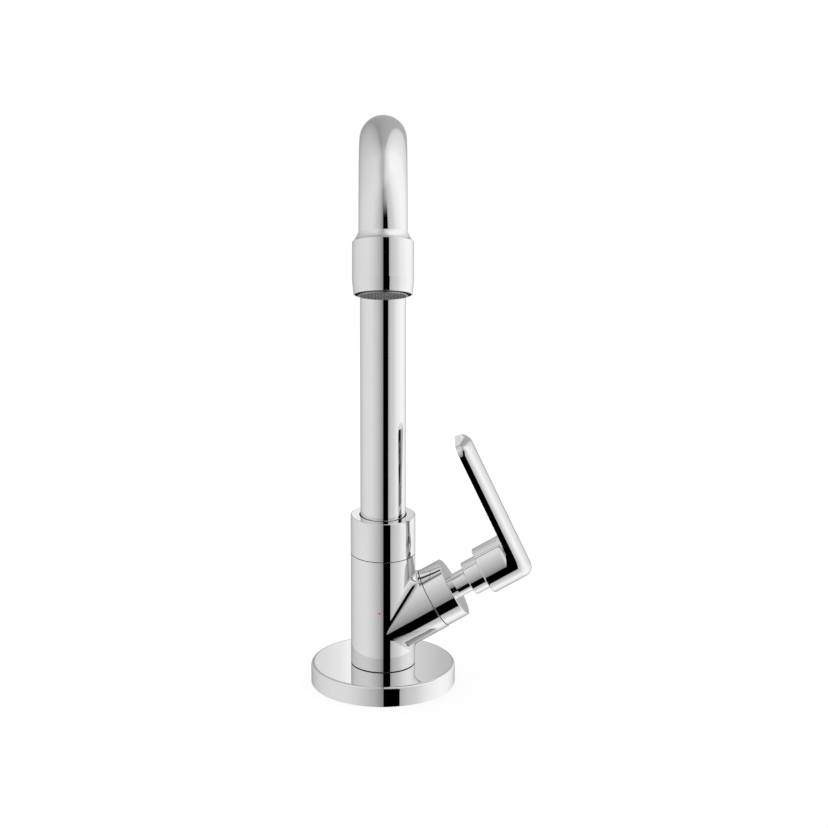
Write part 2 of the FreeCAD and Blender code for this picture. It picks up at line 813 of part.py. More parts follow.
def lever_section(inner, length):
    """Bar along the lever: flat sides, rounded outer edges and a crowned outer face.

    Its section starts at a place under the lever's outer face and its pairs run outwards and
    across. The crown is part of a circle, and each rounded edge touches it and a side.
    """
    lean = math.degrees(math.atan2(edge_across, edge_place - crown_axis))
    middle = (edge_place, edge_across)
    half = 90.0 - (90.0 - lean) / 2
    rounds = [on_circle(middle, lever_edge_radius, angle) for angle in (half, lean)]
    side = lever_half_width
    outline = [(inner, -side), (inner, side), (edge_place, side), tuple(rounds)]
    outline.append(((lever_thickness, 0), (rounds[1][0], -rounds[1][1])))
    outline.append(((rounds[0][0], -rounds[0][1]), (edge_place, -side)))
    face = outlined(outline, lambda pair: Vector(pair[0], pair[1], -length))
    return placed(face.extrude(UP * (length + length)), LEVER)


def lever_plan():
    """Lever seen from outside: straight sides and an end with rounded corners."""
    side = lever_half_width
    shoulder = lever_length - lever_tip_radius
    across = side - lever_tip_radius
    far = on_circle((across, shoulder), lever_tip_radius, 45.0)
    outline = [
        (-side, -side),
        (side, -side),
        (side, shoulder),
        (far, (across, lever_length)),
        (-across, lever_length),
        ((-far[0], far[1]), (-side, shoulder)),
    ]
    face = outlined(outline, lambda pair: Vector(0, pair[0], pair[1]))
    return placed(face.extrude(Vector(lever_thickness, 0, 0)), LEVER)


def lever_barrel():
    """Whole cylinder of the lever's crown, with a rounded edge at the lever's end."""
    middle = (edge_span, lever_length - lever_edge_radius)
    low = -hub_radius - hub_radius
    outline = [
        (0, low),
        (lever_crown_radius, low),
        (lever_crown_radius, middle[1]),
        (on_circle(middle, lever_edge_radius, 45.0), (edge_span, lever_length)),
        (0, lever_length),
    ]
    return turned(outline, CROWN)


def hub_blank():
    """Hub up to the lever's outer face, where it has a rounded edge and the lever's lean."""
    middle = (foot_across, foot_round_place)
    top = 90.0 - lever_lean
    return turned([
        (0, hub_start),
        (hub_radius - hub_edge_break, hub_start),
        (hub_radius, hub_start + hub_edge_break),
        (hub_radius, foot_round_place),
        (on_circle(middle, lever_edge_radius, top / 2), on_circle(middle, lever_edge_radius, top)),
        (0, lever_inner + lever_foot_top / LEAN_COS),
    ], BRANCH)


def lever_root():
    """Filling with a hollow round in the corner between the hub and the lever's inner face.

    It is turned over the hub's upper half, as for a square lever, and then sheared along the
    hub's axis by the lever's lean.
    """
    skin = hub_radius - lever_root_sink
    low = lever_inner + lever_root_sink - lever_root_radius
    top = lever_inner + lever_root_depth
    inside = hub_radius - lever_root_radius
    middle = (skin + lever_root_radius, low)
    end = on_circle(middle, lever_root_radius, 90.0)
    outline = [
        (inside, low),
        (skin, low),
        (on_circle(middle, lever_root_radius, 135.0), end),
        (end[0], top),
        (inside, top),
    ]
    face = outlined(outline, lambda pair: Vector(0, pair[0], pair[1]))
    shear = FreeCAD.Matrix()
    shear.A31 = -LEAN_SIN / LEAN_COS
    return placed(face.revolve(Vector(), UP, 180.0).transformGeometry(shear), BRANCH)


def lever_handle():
    """Round hub and crowned lever in one piece, bored for the neck, the spindle and its screw."""
    reach = hub_radius + overrun
    span = lever_length + overrun
    above = Part.makeBox(span, reach + reach, span + span, Vector(-span, -reach, lever_inner - span))
    bar = lever_plan().common(lever_section(0, span)).common(lever_barrel())
    bar = bar.common(placed(above, BRANCH))
    root = lever_root().common(lever_section(-span, span))
    hub = hub_blank().common(lever_section(-span, span))
    handle = hub.fuse([bar, root]).removeSplitter()
    screw_bore = set_screw_radius + seat_gap
    plug_floor = hub_radius - plug_height
    cuts = [
        rod(neck_spigot_radius + seat_gap, hub_start - overrun, neck_spigot_end + seat_gap, BRANCH),
        rod(spindle_bore_radius, hub_start - overrun, spindle_end + seat_gap, BRANCH),
        cross_hole(screw_bore, set_screw_place, 0, reach, Vector(0, 1, 0), BRANCH),
        cross_hole(plug_radius + seat_gap, set_screw_place, plug_floor, reach, Vector(0, 1, 0), BRANCH),
    ]
    for cut in cuts:
        handle = handle.cut(cut)
    return handle


def set_screw():
    start = spindle_core_radius + seat_gap
    return cross_hole(set_screw_radius, set_screw_place, start, start + set_screw_length,
                      Vector(0, 1, 0), BRANCH)


def screw_plug():
    """Plug over the set screw, flush with the hub."""
    pin = cross_hole(plug_radius, set_screw_place, hub_radius - plug_height, hub_radius + overrun,
                     Vector(0, 1, 0), BRANCH)
    return pin.common(rod(hub_radius, hub_start, lever_outer, BRANCH))


makers = (
    base_flange, base_gasket, body_seat_ring, mounting_shank, deck_rubber, deck_washer, backnut,
    tap_body, index_dot, spout_collar, tube_bush, foot_thrust_ring, spout_foot, foot_o_rings,
    spout_tube, nozzle, aerator_washer, aerator_shell, aerator_core, aerator_screen, bonnet_sleeve,
    valve_housing, housing_o_ring, seat_gasket, fixed_ceramic_disc, moving_ceramic_disc,
    valve_spindle, spindle_o_rings, spindle_clip, handle_neck, lever_handle, set_screw, screw_plug,
)

for maker in makers:
    shape = maker()
    shape.exportStep("parts/" + maker.__name__ + ".step")
    solids = len(shape.Solids)
    print(maker.__name__, "solids", solids, "valid", shape.isValid(), "volume", round(shape.Volume, 2))
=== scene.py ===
import json
import math

import bmesh
import bpy
import numpy as np
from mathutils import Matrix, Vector


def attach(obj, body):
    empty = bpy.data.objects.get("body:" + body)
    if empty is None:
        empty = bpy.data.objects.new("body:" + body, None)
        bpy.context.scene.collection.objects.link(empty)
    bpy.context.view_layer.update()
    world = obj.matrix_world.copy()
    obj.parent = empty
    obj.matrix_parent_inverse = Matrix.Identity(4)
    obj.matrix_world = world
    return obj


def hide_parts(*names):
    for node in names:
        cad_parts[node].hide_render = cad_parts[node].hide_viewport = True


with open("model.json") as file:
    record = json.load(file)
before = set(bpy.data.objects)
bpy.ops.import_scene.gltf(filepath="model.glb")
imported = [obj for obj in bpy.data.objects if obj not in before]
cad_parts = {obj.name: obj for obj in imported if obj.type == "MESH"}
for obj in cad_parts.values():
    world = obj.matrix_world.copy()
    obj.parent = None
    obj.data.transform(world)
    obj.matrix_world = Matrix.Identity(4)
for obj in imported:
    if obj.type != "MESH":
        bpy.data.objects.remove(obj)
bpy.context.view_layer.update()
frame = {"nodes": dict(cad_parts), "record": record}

# A chrome kitchen pillar tap. The tap's sizes are in millimetres until a mesh is made, and they
# are those of the solids in the frame. The stage is placed in metres. Driving angles are in
# degrees.
MILLIMETRE = 0.001
QUARTER = math.pi / 2
WELD = 0.00037                 # side of the cells in which points become one
CREASE = 28.0                  # an edge bent more than this is shaded sharp
SUPPORT = 0.15                 # from a rounded edge to the row that keeps its flat flat
SUPPORT_SHARE = 0.125          # of a flat, which that row takes up at most

# Points round a piece or along a curve
ROUND = 192
FLANGE_ROUND = 256
THREAD_ROUND = 96
NUT_ROUND = 144
INLAY_ROUND = 48
WIRE_ROUND = 8
BRANCH_HALF = 97
COLUMN_BACK = 128
CORNER_STEPS = 9
EDGE_STEPS = 5
FILLET_STEPS = 15
BEND_STEPS = 145
COVE_STEPS = 13
WIRE_STEPS = 89
FOOT_STEPS = 33
ROOT_STEPS = 13
TIP_STEPS = 17
LEVER_EDGE_STEPS = 25
HUB_EDGE_STEPS = 7

# Rows of points over a surface, with the share of it that the first and last rows take
THREAD_ROWS = 276
BRANCH_ROWS, BRANCH_SHARE = 9, 0.01
COLUMN_ROWS, COLUMN_SHARE = 13, 0.004
CROWN_ROWS, CROWN_SHARE = 33, 0.012
SIDE_ROWS, SIDE_SHARE = 15, 0.004
WALL_ROWS, WALL_SHARE = 7, 0.04
INLAY_SHARES = (0, 0.25, 0.5, 0.75, 0.9, 1.0)   # of its radius, at which its face has rows

# Play between pieces, and roundings of the plainer edges
seat_gap = 0.05                # of pieces that are screwed or pushed together
keen_edge = 0.05
fine_edge = 0.1
soft_edge = 0.2
blunt_edge = 0.3

# Swan neck
tube_radius = 11.16
tube_wall = 1.1
tube_bottom = 56.1
bend_start_height = 237.2
bend_radius = 51.2
nozzle_tilt = 24.4
leg_length = 1.5
tube_entry = 8.0

# Column and its base
base_radius = 35.95
base_height = 10.2
base_edge_radius = 1.75
base_foot_edge = 0.35
base_recess_radius = 31.5
base_recess_depth = 6.0
base_boss_radius = 16.5
base_boss_lift = 0.6
base_bore_play = 0.2
gasket_width = 5.0
body_radius = 16.0
body_bottom = 10.9
body_top = 68.3
seat_ring_inset = 0.6
column_lip = 0.36              # of the column's rim, over the seat ring
joint_edge = 0.06              # rounding beside the visible joints
joint_set_back = 0.16          # of each edge beside the collar's joint, which shows as a line
sleeve_set_back = 0.07         # of each edge beside the sleeve's joint
socket_radius = 13.2
socket_floor = 52.1
spigot_radius = 14.0
spigot_bottom = 62.1
collar_top = 88.2
collar_lip_radius = 11.6
collar_lip_height = 2.0
collar_bore_radius = 12.2
collar_edge_radius = 0.6

# Shank and clamp under the counter
shank_radius = 10.4775
shank_bore_radius = 7.0
shank_top = 23.9
shank_bottom = -52.0
shank_chamfer = 1.2
plain_start = 0.3              # from the counter up to the shank's plain part
thread_pitch = 1.814
thread_depth = 0.9
relief_top = -32.3
relief_depth = 0.8
relief_blend = 0.2
tail_top = -33.8
rubber_top = -20.0
washer_top = -22.5
nut_top = -24.0
nut_bottom = -32.0
deck_rubber_radius = 24.0
deck_rubber_edge = 0.4
deck_washer_radius = 22.0
backnut_sides = 6
backnut_flat_radius = 15.0275
backnut_face_inset = 0.3
backnut_bore_chamfer = 0.8
backnut_cone = 30.0

# Branch, sleeve and handle, along the branch's own axis
branch_rise = 30.0
branch_crossing = 29.5
branch_radius = 15.92
branch_length = 29.286
crotch_radius = 5.4            # of the fillet to the column, where the branch is long enough
crotch_margin = 0.6            # from the fillet to the branch's end, on the upper side
crotch_blend = 6               # power of the mean that joins both radii
crotch_least_cosine = 0.3      # of the turn, below which the branch's length no longer counts
chamber_radius = 11.75
chamber_floor = 14.086
sleeve_radius = 15.5
sleeve_bore_radius = 13.55
sleeve_start = 29.436
sleeve_wall_start = 38.827
sleeve_end = 40.827
sleeve_hole_radius = 6.14
sleeve_edge_radius = 0.4
stem_radius = 6.05
stem_root_radius = 0.15
neck_start = 38.217
step_radius = 8.8
step_start = 49.397
step_edge_radius = 0.45
hub_radius = 12.25
hub_start = 57.697
neck_spigot_radius = 7.0
neck_spigot_end = 61.997
spindle_bore_radius = 4.05
spindle_end = 67.997
set_screw_place = 64.797
plug_radius = 2.9
plug_depth = 1.2
hub_edge_radius = 0.5
lever_lean = 5.0
lever_inner = 73.0
lever_thickness = 7.665
lever_length = 65.91
lever_crown_radius = 27.0
lever_edge_radius = 4.4
lever_tip_radius = 4.6
lever_root_radius = 2.9        # of the hollow round between the hub and the lever's inner face

# Nozzle and aerator, along the nozzle's own axis
nozzle_top_radius = 11.45
nozzle_socket_edge = 0.03
nozzle_cove_radius = 12.4
nozzle_cove_middle = 2.2
nozzle_cove_length = 4.1
nozzle_radius = 14.0
nozzle_barrel_end = 21.9
nozzle_barrel_round = 1.5
nozzle_end_radius = 13.3
nozzle_length = 28.2
nozzle_way_radius = 9.8
pocket_radius = 12.0
pocket_start = 15.5
mouth_radius = 12.8
mouth_start = 25.2
shell_radius = 11.95
shell_nose_radius = 11.35
shell_bore_radius = 10.95
shell_lip_radius = 10.75
shell_start = 17.5
shell_end = 28.8
screen_start = 28.1
screen_end = 28.55
screen_depth = 0.15            # from the shell's end to the middle of the net
screen_rim_width = 0.2
screen_pitch = 1.45
screen_wire = 0.26             # half a wire's width
screen_lift = 0.1              # half its thickness
screen_hold = 0.1              # of a wire's end in the rim
screen_fold = 0.03             # thickness of the rim folded over the shell
fold_play = 0.02
fold_edge = 0.01
fold_stop = 0.2                # from the fold to the mouth's floor

# Index dot on the column's front, and what it shares with the hub's plug
dot_radius = 0.6
dot_height = 41.5
dot_turn = 6.5
dot_depth = 1.0
inlay_crown = 0.05
inlay_stand_share = 0.2        # of the crown, by which the inlay's edge stands out


def unit(degrees):
    """Cosine and sine of an angle."""
    angle = math.radians(degrees)
    return math.cos(angle), math.sin(angle)


RISE_COS, RISE_SIN = unit(branch_rise)
LEAN_COS, LEAN_SIN = unit(lever_lean)
TILT_COS, TILT_SIN = unit(nozzle_tilt)

# A frame is an origin and three axes. Points are measured along the axes from the origin.
COLUMN = (np.zeros(3), np.eye(3))
BRANCH_AXES = np.array([[RISE_SIN, 0, -RISE_COS], [0, 1, 0], [RISE_COS, 0, RISE_SIN]])
BRANCH = (np.array([0, 0, branch_crossing]), BRANCH_AXES)
LEVER_TURN = np.array([[LEAN_SIN, 0, LEAN_COS], [0, 1, 0], [-LEAN_COS, 0, LEAN_SIN]])
LEVER = (BRANCH[0] + lever_inner * BRANCH_AXES[2], LEVER_TURN @ BRANCH_AXES)
OUTLET = np.array([0, -TILT_SIN, -TILT_COS])
BEND_TURN = math.pi - math.radians(nozzle_tilt)
BEND_END = np.array([0, bend_radius * (math.cos(BEND_TURN) - 1),
                     bend_start_height + bend_radius * math.sin(BEND_TURN)])
NOZZLE_AXES = np.array([[1, 0, 0], [0, -TILT_COS, TILT_SIN], OUTLET])
NOZZLE = (BEND_END + leg_length * OUTLET, NOZZLE_AXES)

# The lever's own places: the end of its straight sides, the axis of its crown, the circle on
# which its ball rolls, and the turn and place at which the hollow round meets its sides.
lever_shoulder = lever_length - lever_tip_radius
crown_axis = lever_thickness - lever_crown_radius
ball_span = lever_crown_radius - lever_edge_radius
root_reach = hub_radius + lever_root_radius
root_start = lever_inner - lever_root_radius
root_limit = math.asin(hub_radius / root_reach)
root_end = root_reach * math.cos(root_limit) / LEAN_COS


# Surfaces

def full_turn(count):
    """Angles spread evenly round a circle."""
    return np.linspace(0, 2 * math.pi, count, endpoint=False)


def place(points, spot):
    """Points carried to a frame: origin + x X + y Y + z Z."""
    origin, axes = spot
    return origin + points @ axes


def sheet(points, round_rows=False, round_columns=False):
    """Vertices and four-sided faces of a grid of points.

    Each face joins the points (i, j), (i+1, j), (i+1, j+1) and (i, j+1). A round direction
    also joins its last line to its first.
    """
    index = np.arange(points.shape[0] * points.shape[1]).reshape(points.shape[:2])
    if round_rows:
        index = np.vstack([index, index[:1]])
    if round_columns:
        index = np.hstack([index, index[:, :1]])
    corners = [index[:-1, :-1], index[1:, :-1], index[1:, 1:], index[:-1, 1:]]
    return points.reshape(-1, 3), np.stack(corners, axis=-1).reshape(-1, 4)


def swung(first, last, bend, steps):
    """Unit directions swung evenly from one to another through the angle b between them.

    At a share s of the way they are (sin((1 - s) b) first + sin(s b) last) / sin b.
    """
    share = np.linspace(0, 1, steps)[None, :, None]
    bend = bend.reshape(-1, 1, 1)
    swing = np.sin((1 - share) * bend) * first[:, None] + np.sin(share * bend) * last[:, None]
    return swing / np.sin(bend)


def angle_between(first, last):
    """Angles between unit directions: the arc cosine of their products."""
    return np.arccos(np.clip((first * last).sum(axis=1), -1, 1))


def rounded(corners):
    """Closed outline of (radius, height) points whose corners are arcs.

    A corner is (radius, height, rounding). With a and b the directions from the corner along
    its two sides and h half the angle between them, the arc's centre lies rounding / sin h
    along the bisector, and the arc swings from one side's normal to the other's. One more
    point on each side, just outside the arc, keeps the flats flat when shaded.
    """
    table = np.array(corners, float)
    spot, size = table[:, :2], table[:, 2:]
    back = np.roll(spot, 1, axis=0) - spot
    ahead = np.roll(spot, -1, axis=0) - spot
    back_length = np.linalg.norm(back, axis=1, keepdims=True)
    ahead_length = np.linalg.norm(ahead, axis=1, keepdims=True)
    a, b = back / back_length, ahead / ahead_length
    bisector = (a + b) / np.linalg.norm(a + b, axis=1, keepdims=True)
    half = angle_between(a, b)[:, None] / 2
    centre = spot + bisector * size / np.sin(half)
    start = a / np.tan(half) - bisector / np.sin(half)
    end = b / np.tan(half) - bisector / np.sin(half)
    arc = centre[:, None] + size[:, None] * swung(start, end, math.pi - 2 * half, CORNER_STEPS)
    keep = np.where(size > 0, SUPPORT, 0)
    first = arc[:, :1] + (a * np.minimum(keep, back_length * SUPPORT_SHARE))[:, None]
    last = arc[:, -1:] + (b * np.minimum(keep, ahead_length * SUPPORT_SHARE))[:, None]
    return np.concatenate([first, arc, last], axis=1).reshape(-1, 2)


def turned(turn, radius, height):
    """Points at turns t about an axis: x = r cos t, y = r sin t, z = h."""
    turn = turn[:, None]
    return np.stack(np.broadcast_arrays(radius * np.cos(turn), radius * np.sin(turn), height), axis=-1)


def lathe(outline, spot=COLUMN, count=ROUND):
    """Closed outline of (radius, height) points turned about a frame's axis."""
    radius, height = outline.T
    return sheet(place(turned(full_turn(count), radius, height), spot), True, True)


def edge_round(radius, level, way, edge, steps=EDGE_STEPS):
    """Radii R - e + e cos t and heights level + way e sin t of a quarter round at a skin's end."""
    turn = np.linspace(0, QUARTER, steps)
    return radius - edge + edge * np.cos(turn), level + way * edge * np.sin(turn)


def arc_through(start, middle, end, steps):
    """Points of the circle through three points, from the first to the last.

    The centre is where the bisectors of the two chords meet, and the angle runs evenly.
    """
    start, middle, end = (np.array(point, float) for point in (start, middle, end))
    sides = 2 * np.array([middle - start, end - start])
    gaps = np.array([middle @ middle - start @ start, end @ end - start @ start])
    centre = np.linalg.solve(sides, gaps)
    offsets = np.array([start, middle, end]) - centre
    angles = np.unwrap(np.arctan2(offsets[:, 1], offsets[:, 0]))
    swing = np.linspace(angles[0], angles[2], steps)
    reach = np.linalg.norm(offsets[0])
    return centre + reach * np.stack([np.cos(swing), np.sin(swing)], axis=-1)


def eased(count, margin):
    """Shares from 0 to 1, evenly spread but for one more near each end."""
    return np.concatenate([[0], np.linspace(margin, 1 - margin, count - 2), [1]])


def between(first, last, shares):
    """Straight rows from one line of points to another: first + share (last - first)."""
    return first[:, None] + (last - first)[:, None] * shares[None, :, None]


def weld(patches):
    """Patches joined into one mesh: points that share a cell of the weld's size become one.

    A face that loses one corner becomes a triangle, and one that loses more is dropped.
    """
    starts = np.cumsum([0] + [len(points) for points, _ in patches])
    points = np.concatenate([points for points, _ in patches])
    quads = np.concatenate([faces + start for (_, faces), start in zip(patches, starts)])
    cells = np.round(points / WELD).astype(np.int64)
    _, kept, where = np.unique(cells, axis=0, return_index=True, return_inverse=True)
    quads = where.reshape(-1)[quads]
    repeated = quads == np.roll(quads, -1, axis=1)
    losses = repeated.sum(axis=1)
    whole = quads[losses == 0]
    thirds = losses == 1
    triangles = quads[thirds][~repeated[thirds]].reshape(-1, 3)
    return points[kept], whole.tolist() + triangles.tolist()


# Pieces of the base and column

def base_flange():
    """Flange turned from its section, with a rounded rim, hollow below."""
    bore = shank_radius + base_bore_play
    return [lathe(rounded([
        (bore, base_boss_lift, soft_edge),
        (base_boss_radius, base_boss_lift, blunt_edge),
        (base_boss_radius, base_recess_depth, blunt_edge),
        (base_recess_radius, base_recess_depth, blunt_edge),
        (base_recess_radius, 0, blunt_edge),
        (base_radius, 0, base_foot_edge),
        (base_radius, base_height, base_edge_radius),
        (bore, base_height, soft_edge),
    ]), count=FLANGE_ROUND)]


def ring(outer, inner, low, high, edge):
    """Ring turned from a rectangle with rounded corners."""
    corners = ((inner, low), (outer, low), (outer, high), (inner, high))
    return [lathe(rounded([(radius, height, edge) for radius, height in corners]))]


def base_gasket():
    """Rubber ring in the flange's recess."""
    outer = base_recess_radius - seat_gap
    return ring(outer, outer - gasket_width, 0, base_recess_depth, blunt_edge)


def body_seat_ring():
    """Dark ring in the joint between flange and column."""
    return ring(body_radius - seat_ring_inset, shank_radius + seat_gap, base_height, body_bottom, fine_edge)


def deck_rubber():
    """Rubber ring under the counter."""
    return ring(deck_rubber_radius, shank_radius + seat_gap, washer_top, rubber_top, deck_rubber_edge)


def deck_washer():
    """Steel ring between the rubber and the nut."""
    return ring(deck_washer_radius, shank_radius + seat_gap, nut_top, washer_top, soft_edge)


def mounting_shank():
    """Hollow shank with a helical thread on its part below the counter.

    The skin's radius is that of the crest less depth times a rounded wave of the phase
    height / pitch - turn. The wave gives way to the relief groove, and the crest starts with a
    chamfer.
    """
    turn = full_turn(THREAD_ROUND)
    height = np.linspace(shank_bottom, 0, THREAD_ROWS)
    wave = 0.5 - 0.5 * np.cos(2 * math.pi * height / thread_pitch - turn[:, None])
    lead = np.clip((height - shank_bottom) / shank_chamfer, 0, 1)
    crest = lead * shank_chamfer + shank_radius - shank_chamfer
    groove = np.clip(np.minimum(height - tail_top, relief_top - height) / relief_blend, 0, 1)
    cut = np.maximum(thread_depth * wave * (1 - groove), relief_depth * groove)
    skin = np.minimum(crest, shank_radius - cut)
    bore = np.full((THREAD_ROUND, 1), shank_bore_radius)
    plain = np.full((THREAD_ROUND, 2), shank_radius)
    radius = np.hstack([bore, skin, plain, bore])
    levels = np.concatenate([[shank_bottom], height, [plain_start, shank_top, shank_top]])
    return [sheet(turned(turn, radius, levels), True, True)]


def backnut():
    """Hexagon nut: radius = flat / cos(turn within a side), its corners cut by a cone."""
    turn = full_turn(NUT_ROUND)
    side = 2 * math.pi / backnut_sides
    flat = backnut_flat_radius / np.cos((turn[:, None] + side / 2) % side - side / 2)
    face = np.full_like(flat, backnut_flat_radius - backnut_face_inset)
    drop = (flat - face) * math.tan(math.radians(backnut_cone))
    bore = np.full_like(flat, shank_radius + seat_gap)
    lip = bore + backnut_bore_chamfer
    low, high = np.full_like(flat, nut_bottom), np.full_like(flat, nut_top)
    radius = np.hstack([bore, lip, face, flat, flat, face, lip, bore])
    height = np.hstack([low + backnut_bore_chamfer, low, low, low + drop,
                        high - drop, high, high, high - backnut_bore_chamfer])
    return [sheet(turned(turn, radius, height), True, True)]


def crotch_fillet(turn, radial):
    """Fillet rolled between column and branch, and the places along the branch where it ends.

    At a turn f round the branch, measured from its upper side, the radial direction is
    e = cos f up + sin f Y. A ball of radius r touches both cylinders when its centre is
    R + r from the column's axis and B + r from the branch's, so it lies
    (sqrt((R + r)^2 - ((B + r) sin f)^2) + (B + r) cos f sin rise) / cos rise
    along the branch. The fillet is the ball's arc between the points where it touches. On the
    upper side the radius falls off so that the fillet ends before the branch does.
    """
    slope = np.maximum(np.cos(turn), crotch_least_cosine) * (1 + RISE_SIN)
    widest = (branch_length - crotch_margin) * RISE_COS / slope - body_radius
    ball = (widest ** -crotch_blend + crotch_radius ** -crotch_blend) ** (-1 / crotch_blend)
    far = branch_radius + ball
    reach = np.sqrt((body_radius + ball) ** 2 - (far * np.sin(turn)) ** 2)
    station = (reach + far * np.cos(turn) * RISE_SIN) / RISE_COS
    centre = BRANCH[0] + station * BRANCH_AXES[2] + far * radial
    inward = -np.hstack([centre[:, :2], np.zeros_like(turn)]) / (body_radius + ball)
    arc = swung(inward, -radial, angle_between(inward, -radial), FILLET_STEPS)
    return centre[:, None] + ball[:, None] * arc, station


def column_end(turn, level, way, bores):
    """Rounded rim, flat end and blind bore at one end of the column, on its skin's own turns."""
    rim_radius, rim_height = edge_round(body_radius, level, way, joint_edge)
    bore_radius, bore_height = np.array(bores, float).T
    radius = np.concatenate([rim_radius, bore_radius])
    height = np.concatenate([rim_height, bore_height])
    return sheet(turned(turn, radius, height), round_rows=True)


def tap_body():
    """Column and branch in one casting, with a rolled fillet between them and blind bores.

    The branch's rows run along it from the fillet: place = start + share (end - start). The
    column's skin runs straight up and down from the fillet's outer row, and goes round the
    back between the two places where the branch is widest.
    """
    upper_turns = np.linspace(-QUARTER, QUARTER, BRANCH_HALF)
    lower_turns = np.linspace(QUARTER, 3 * QUARTER, BRANCH_HALF)
    turn = np.concatenate([upper_turns, lower_turns[1:-1]])[:, None]
    radial = np.cos(turn) * -BRANCH_AXES[0] + np.sin(turn) * BRANCH_AXES[1]
    fillet, station = crotch_fillet(turn, radial)
    end_face = branch_length - sleeve_set_back
    skin_end = end_face - joint_edge
    stations = station + (skin_end - station) * eased(BRANCH_ROWS, BRANCH_SHARE)
    rim_radius, rim_station = edge_round(branch_radius, skin_end, 1, joint_edge)
    rim_radius = np.concatenate([rim_radius, [chamber_radius, chamber_radius, 0]])
    rim_station = np.concatenate([rim_station, [end_face, chamber_floor, chamber_floor]])

    def on_branch(along, away):
        """Points by their place along the branch and their distance from its axis."""
        return BRANCH[0] + along[..., None] * BRANCH_AXES[2] + away[..., None] * radial[:, None]

    skin = on_branch(stations, np.full_like(stations, branch_radius))
    rim = on_branch(rim_station[None], rim_radius[None])
    branch = sheet(np.concatenate([fillet, skin, rim], axis=1), round_rows=True)

    touch = fillet[:, 0]
    upper = touch[:BRANCH_HALF]
    lower = np.concatenate([touch[BRANCH_HALF - 1:], touch[:1]])
    rim_top, rim_bottom = body_top - joint_set_back, body_bottom - column_lip
    top, bottom = rim_top - joint_edge, rim_bottom + joint_edge
    shares = eased(COLUMN_ROWS, COLUMN_SHARE)

    def turns_of(points):
        """Turns of points about the column's axis."""
        return np.arctan2(points[:, 1], points[:, 0])

    def strip(points, level):
        """Column skin from a row of points straight up or down to a level."""
        return sheet(between(points, points * [1, 1, 0] + [0, 0, level], shares))

    corner = turns_of(upper)[-1]
    back = np.linspace(corner, 2 * math.pi - corner, COLUMN_BACK)
    meet = touch[0, 2]
    levels = np.concatenate([bottom + (meet - bottom) * shares, meet + (top - meet) * shares[1:]])
    rear = sheet(turned(back, np.full_like(levels, body_radius), levels))

    spigot_bore, shank_bore = spigot_radius + seat_gap, shank_radius + seat_gap
    lip_radius = body_radius - seat_ring_inset + seat_gap
    head = column_end(np.concatenate([turns_of(upper), back[1:-1]]), top, 1, [
        (spigot_bore, rim_top), (spigot_bore, spigot_bottom), (socket_radius, spigot_bottom),
        (socket_radius, socket_floor), (0, socket_floor)])
    foot = column_end(np.concatenate([turns_of(lower), back[-2:0:-1]]), bottom, -1, [
        (lip_radius, rim_bottom), (lip_radius, body_bottom), (shank_bore, body_bottom),
        (shank_bore, shank_top), (0, shank_top)])
    return [branch, strip(upper, top), strip(lower, bottom), rear, head, foot]


def inlay(radius, depth, skin_radius, spot):
    """Round inlay in a cylinder's skin, along a frame's Y axis, with a slight crown.

    At a distance d and turn t from its middle the face lies sqrt(R^2 - (d cos t)^2) from the
    cylinder's axis, plus a crown that falls off as 1 + stand - (d / radius)^2. Two more rows
    close its back.
    """
    turn = full_turn(INLAY_ROUND)[:, None]
    share = np.concatenate([INLAY_SHARES, [1, 0]])
    across, up = radius * share * np.cos(turn), radius * share * np.sin(turn)
    face = np.sqrt(skin_radius ** 2 - across ** 2) + inlay_crown * (1 + inlay_stand_share - share ** 2)
    behind = np.arange(len(share)) >= len(INLAY_SHARES)
    away = np.where(behind, skin_radius - depth, face)
    return [sheet(place(np.stack([across, away, up], axis=-1), spot), round_rows=True)]


def index_dot():
    """Red inlay on the column's front, turned a little to one side."""
    cosine, sine = unit(180 - dot_turn)
    axes = np.array([[cosine, sine, 0], [-sine, cosine, 0], [0, 0, 1]])
    return inlay(dot_radius, dot_depth, body_radius, (np.array([0, 0, dot_height]), axes))


def screw_plug():
    """Plug over the set screw, in the back of the hub."""
    spot = (BRANCH[0] + set_screw_place * BRANCH_AXES[2], BRANCH_AXES)
    return inlay(plug_radius, plug_depth, hub_radius, spot)


def spout_collar():
    """Collar over the swivel joint, turned from its section."""
    spigot_start, collar_start = spigot_bottom + seat_gap, body_top + joint_set_back
    lip_start = collar_top - collar_lip_height
    return [lathe(rounded([
        (collar_bore_radius, spigot_start, fine_edge),
        (spigot_radius, spigot_start, fine_edge),
        (spigot_radius, collar_start, keen_edge),
        (body_radius, collar_start, joint_edge),
        (body_radius, collar_top, collar_edge_radius),
        (collar_lip_radius, collar_top, blunt_edge),
        (collar_lip_radius, lip_start, fine_edge),
        (collar_bore_radius, lip_start, fine_edge),
    ]))]


# Pieces of the spout

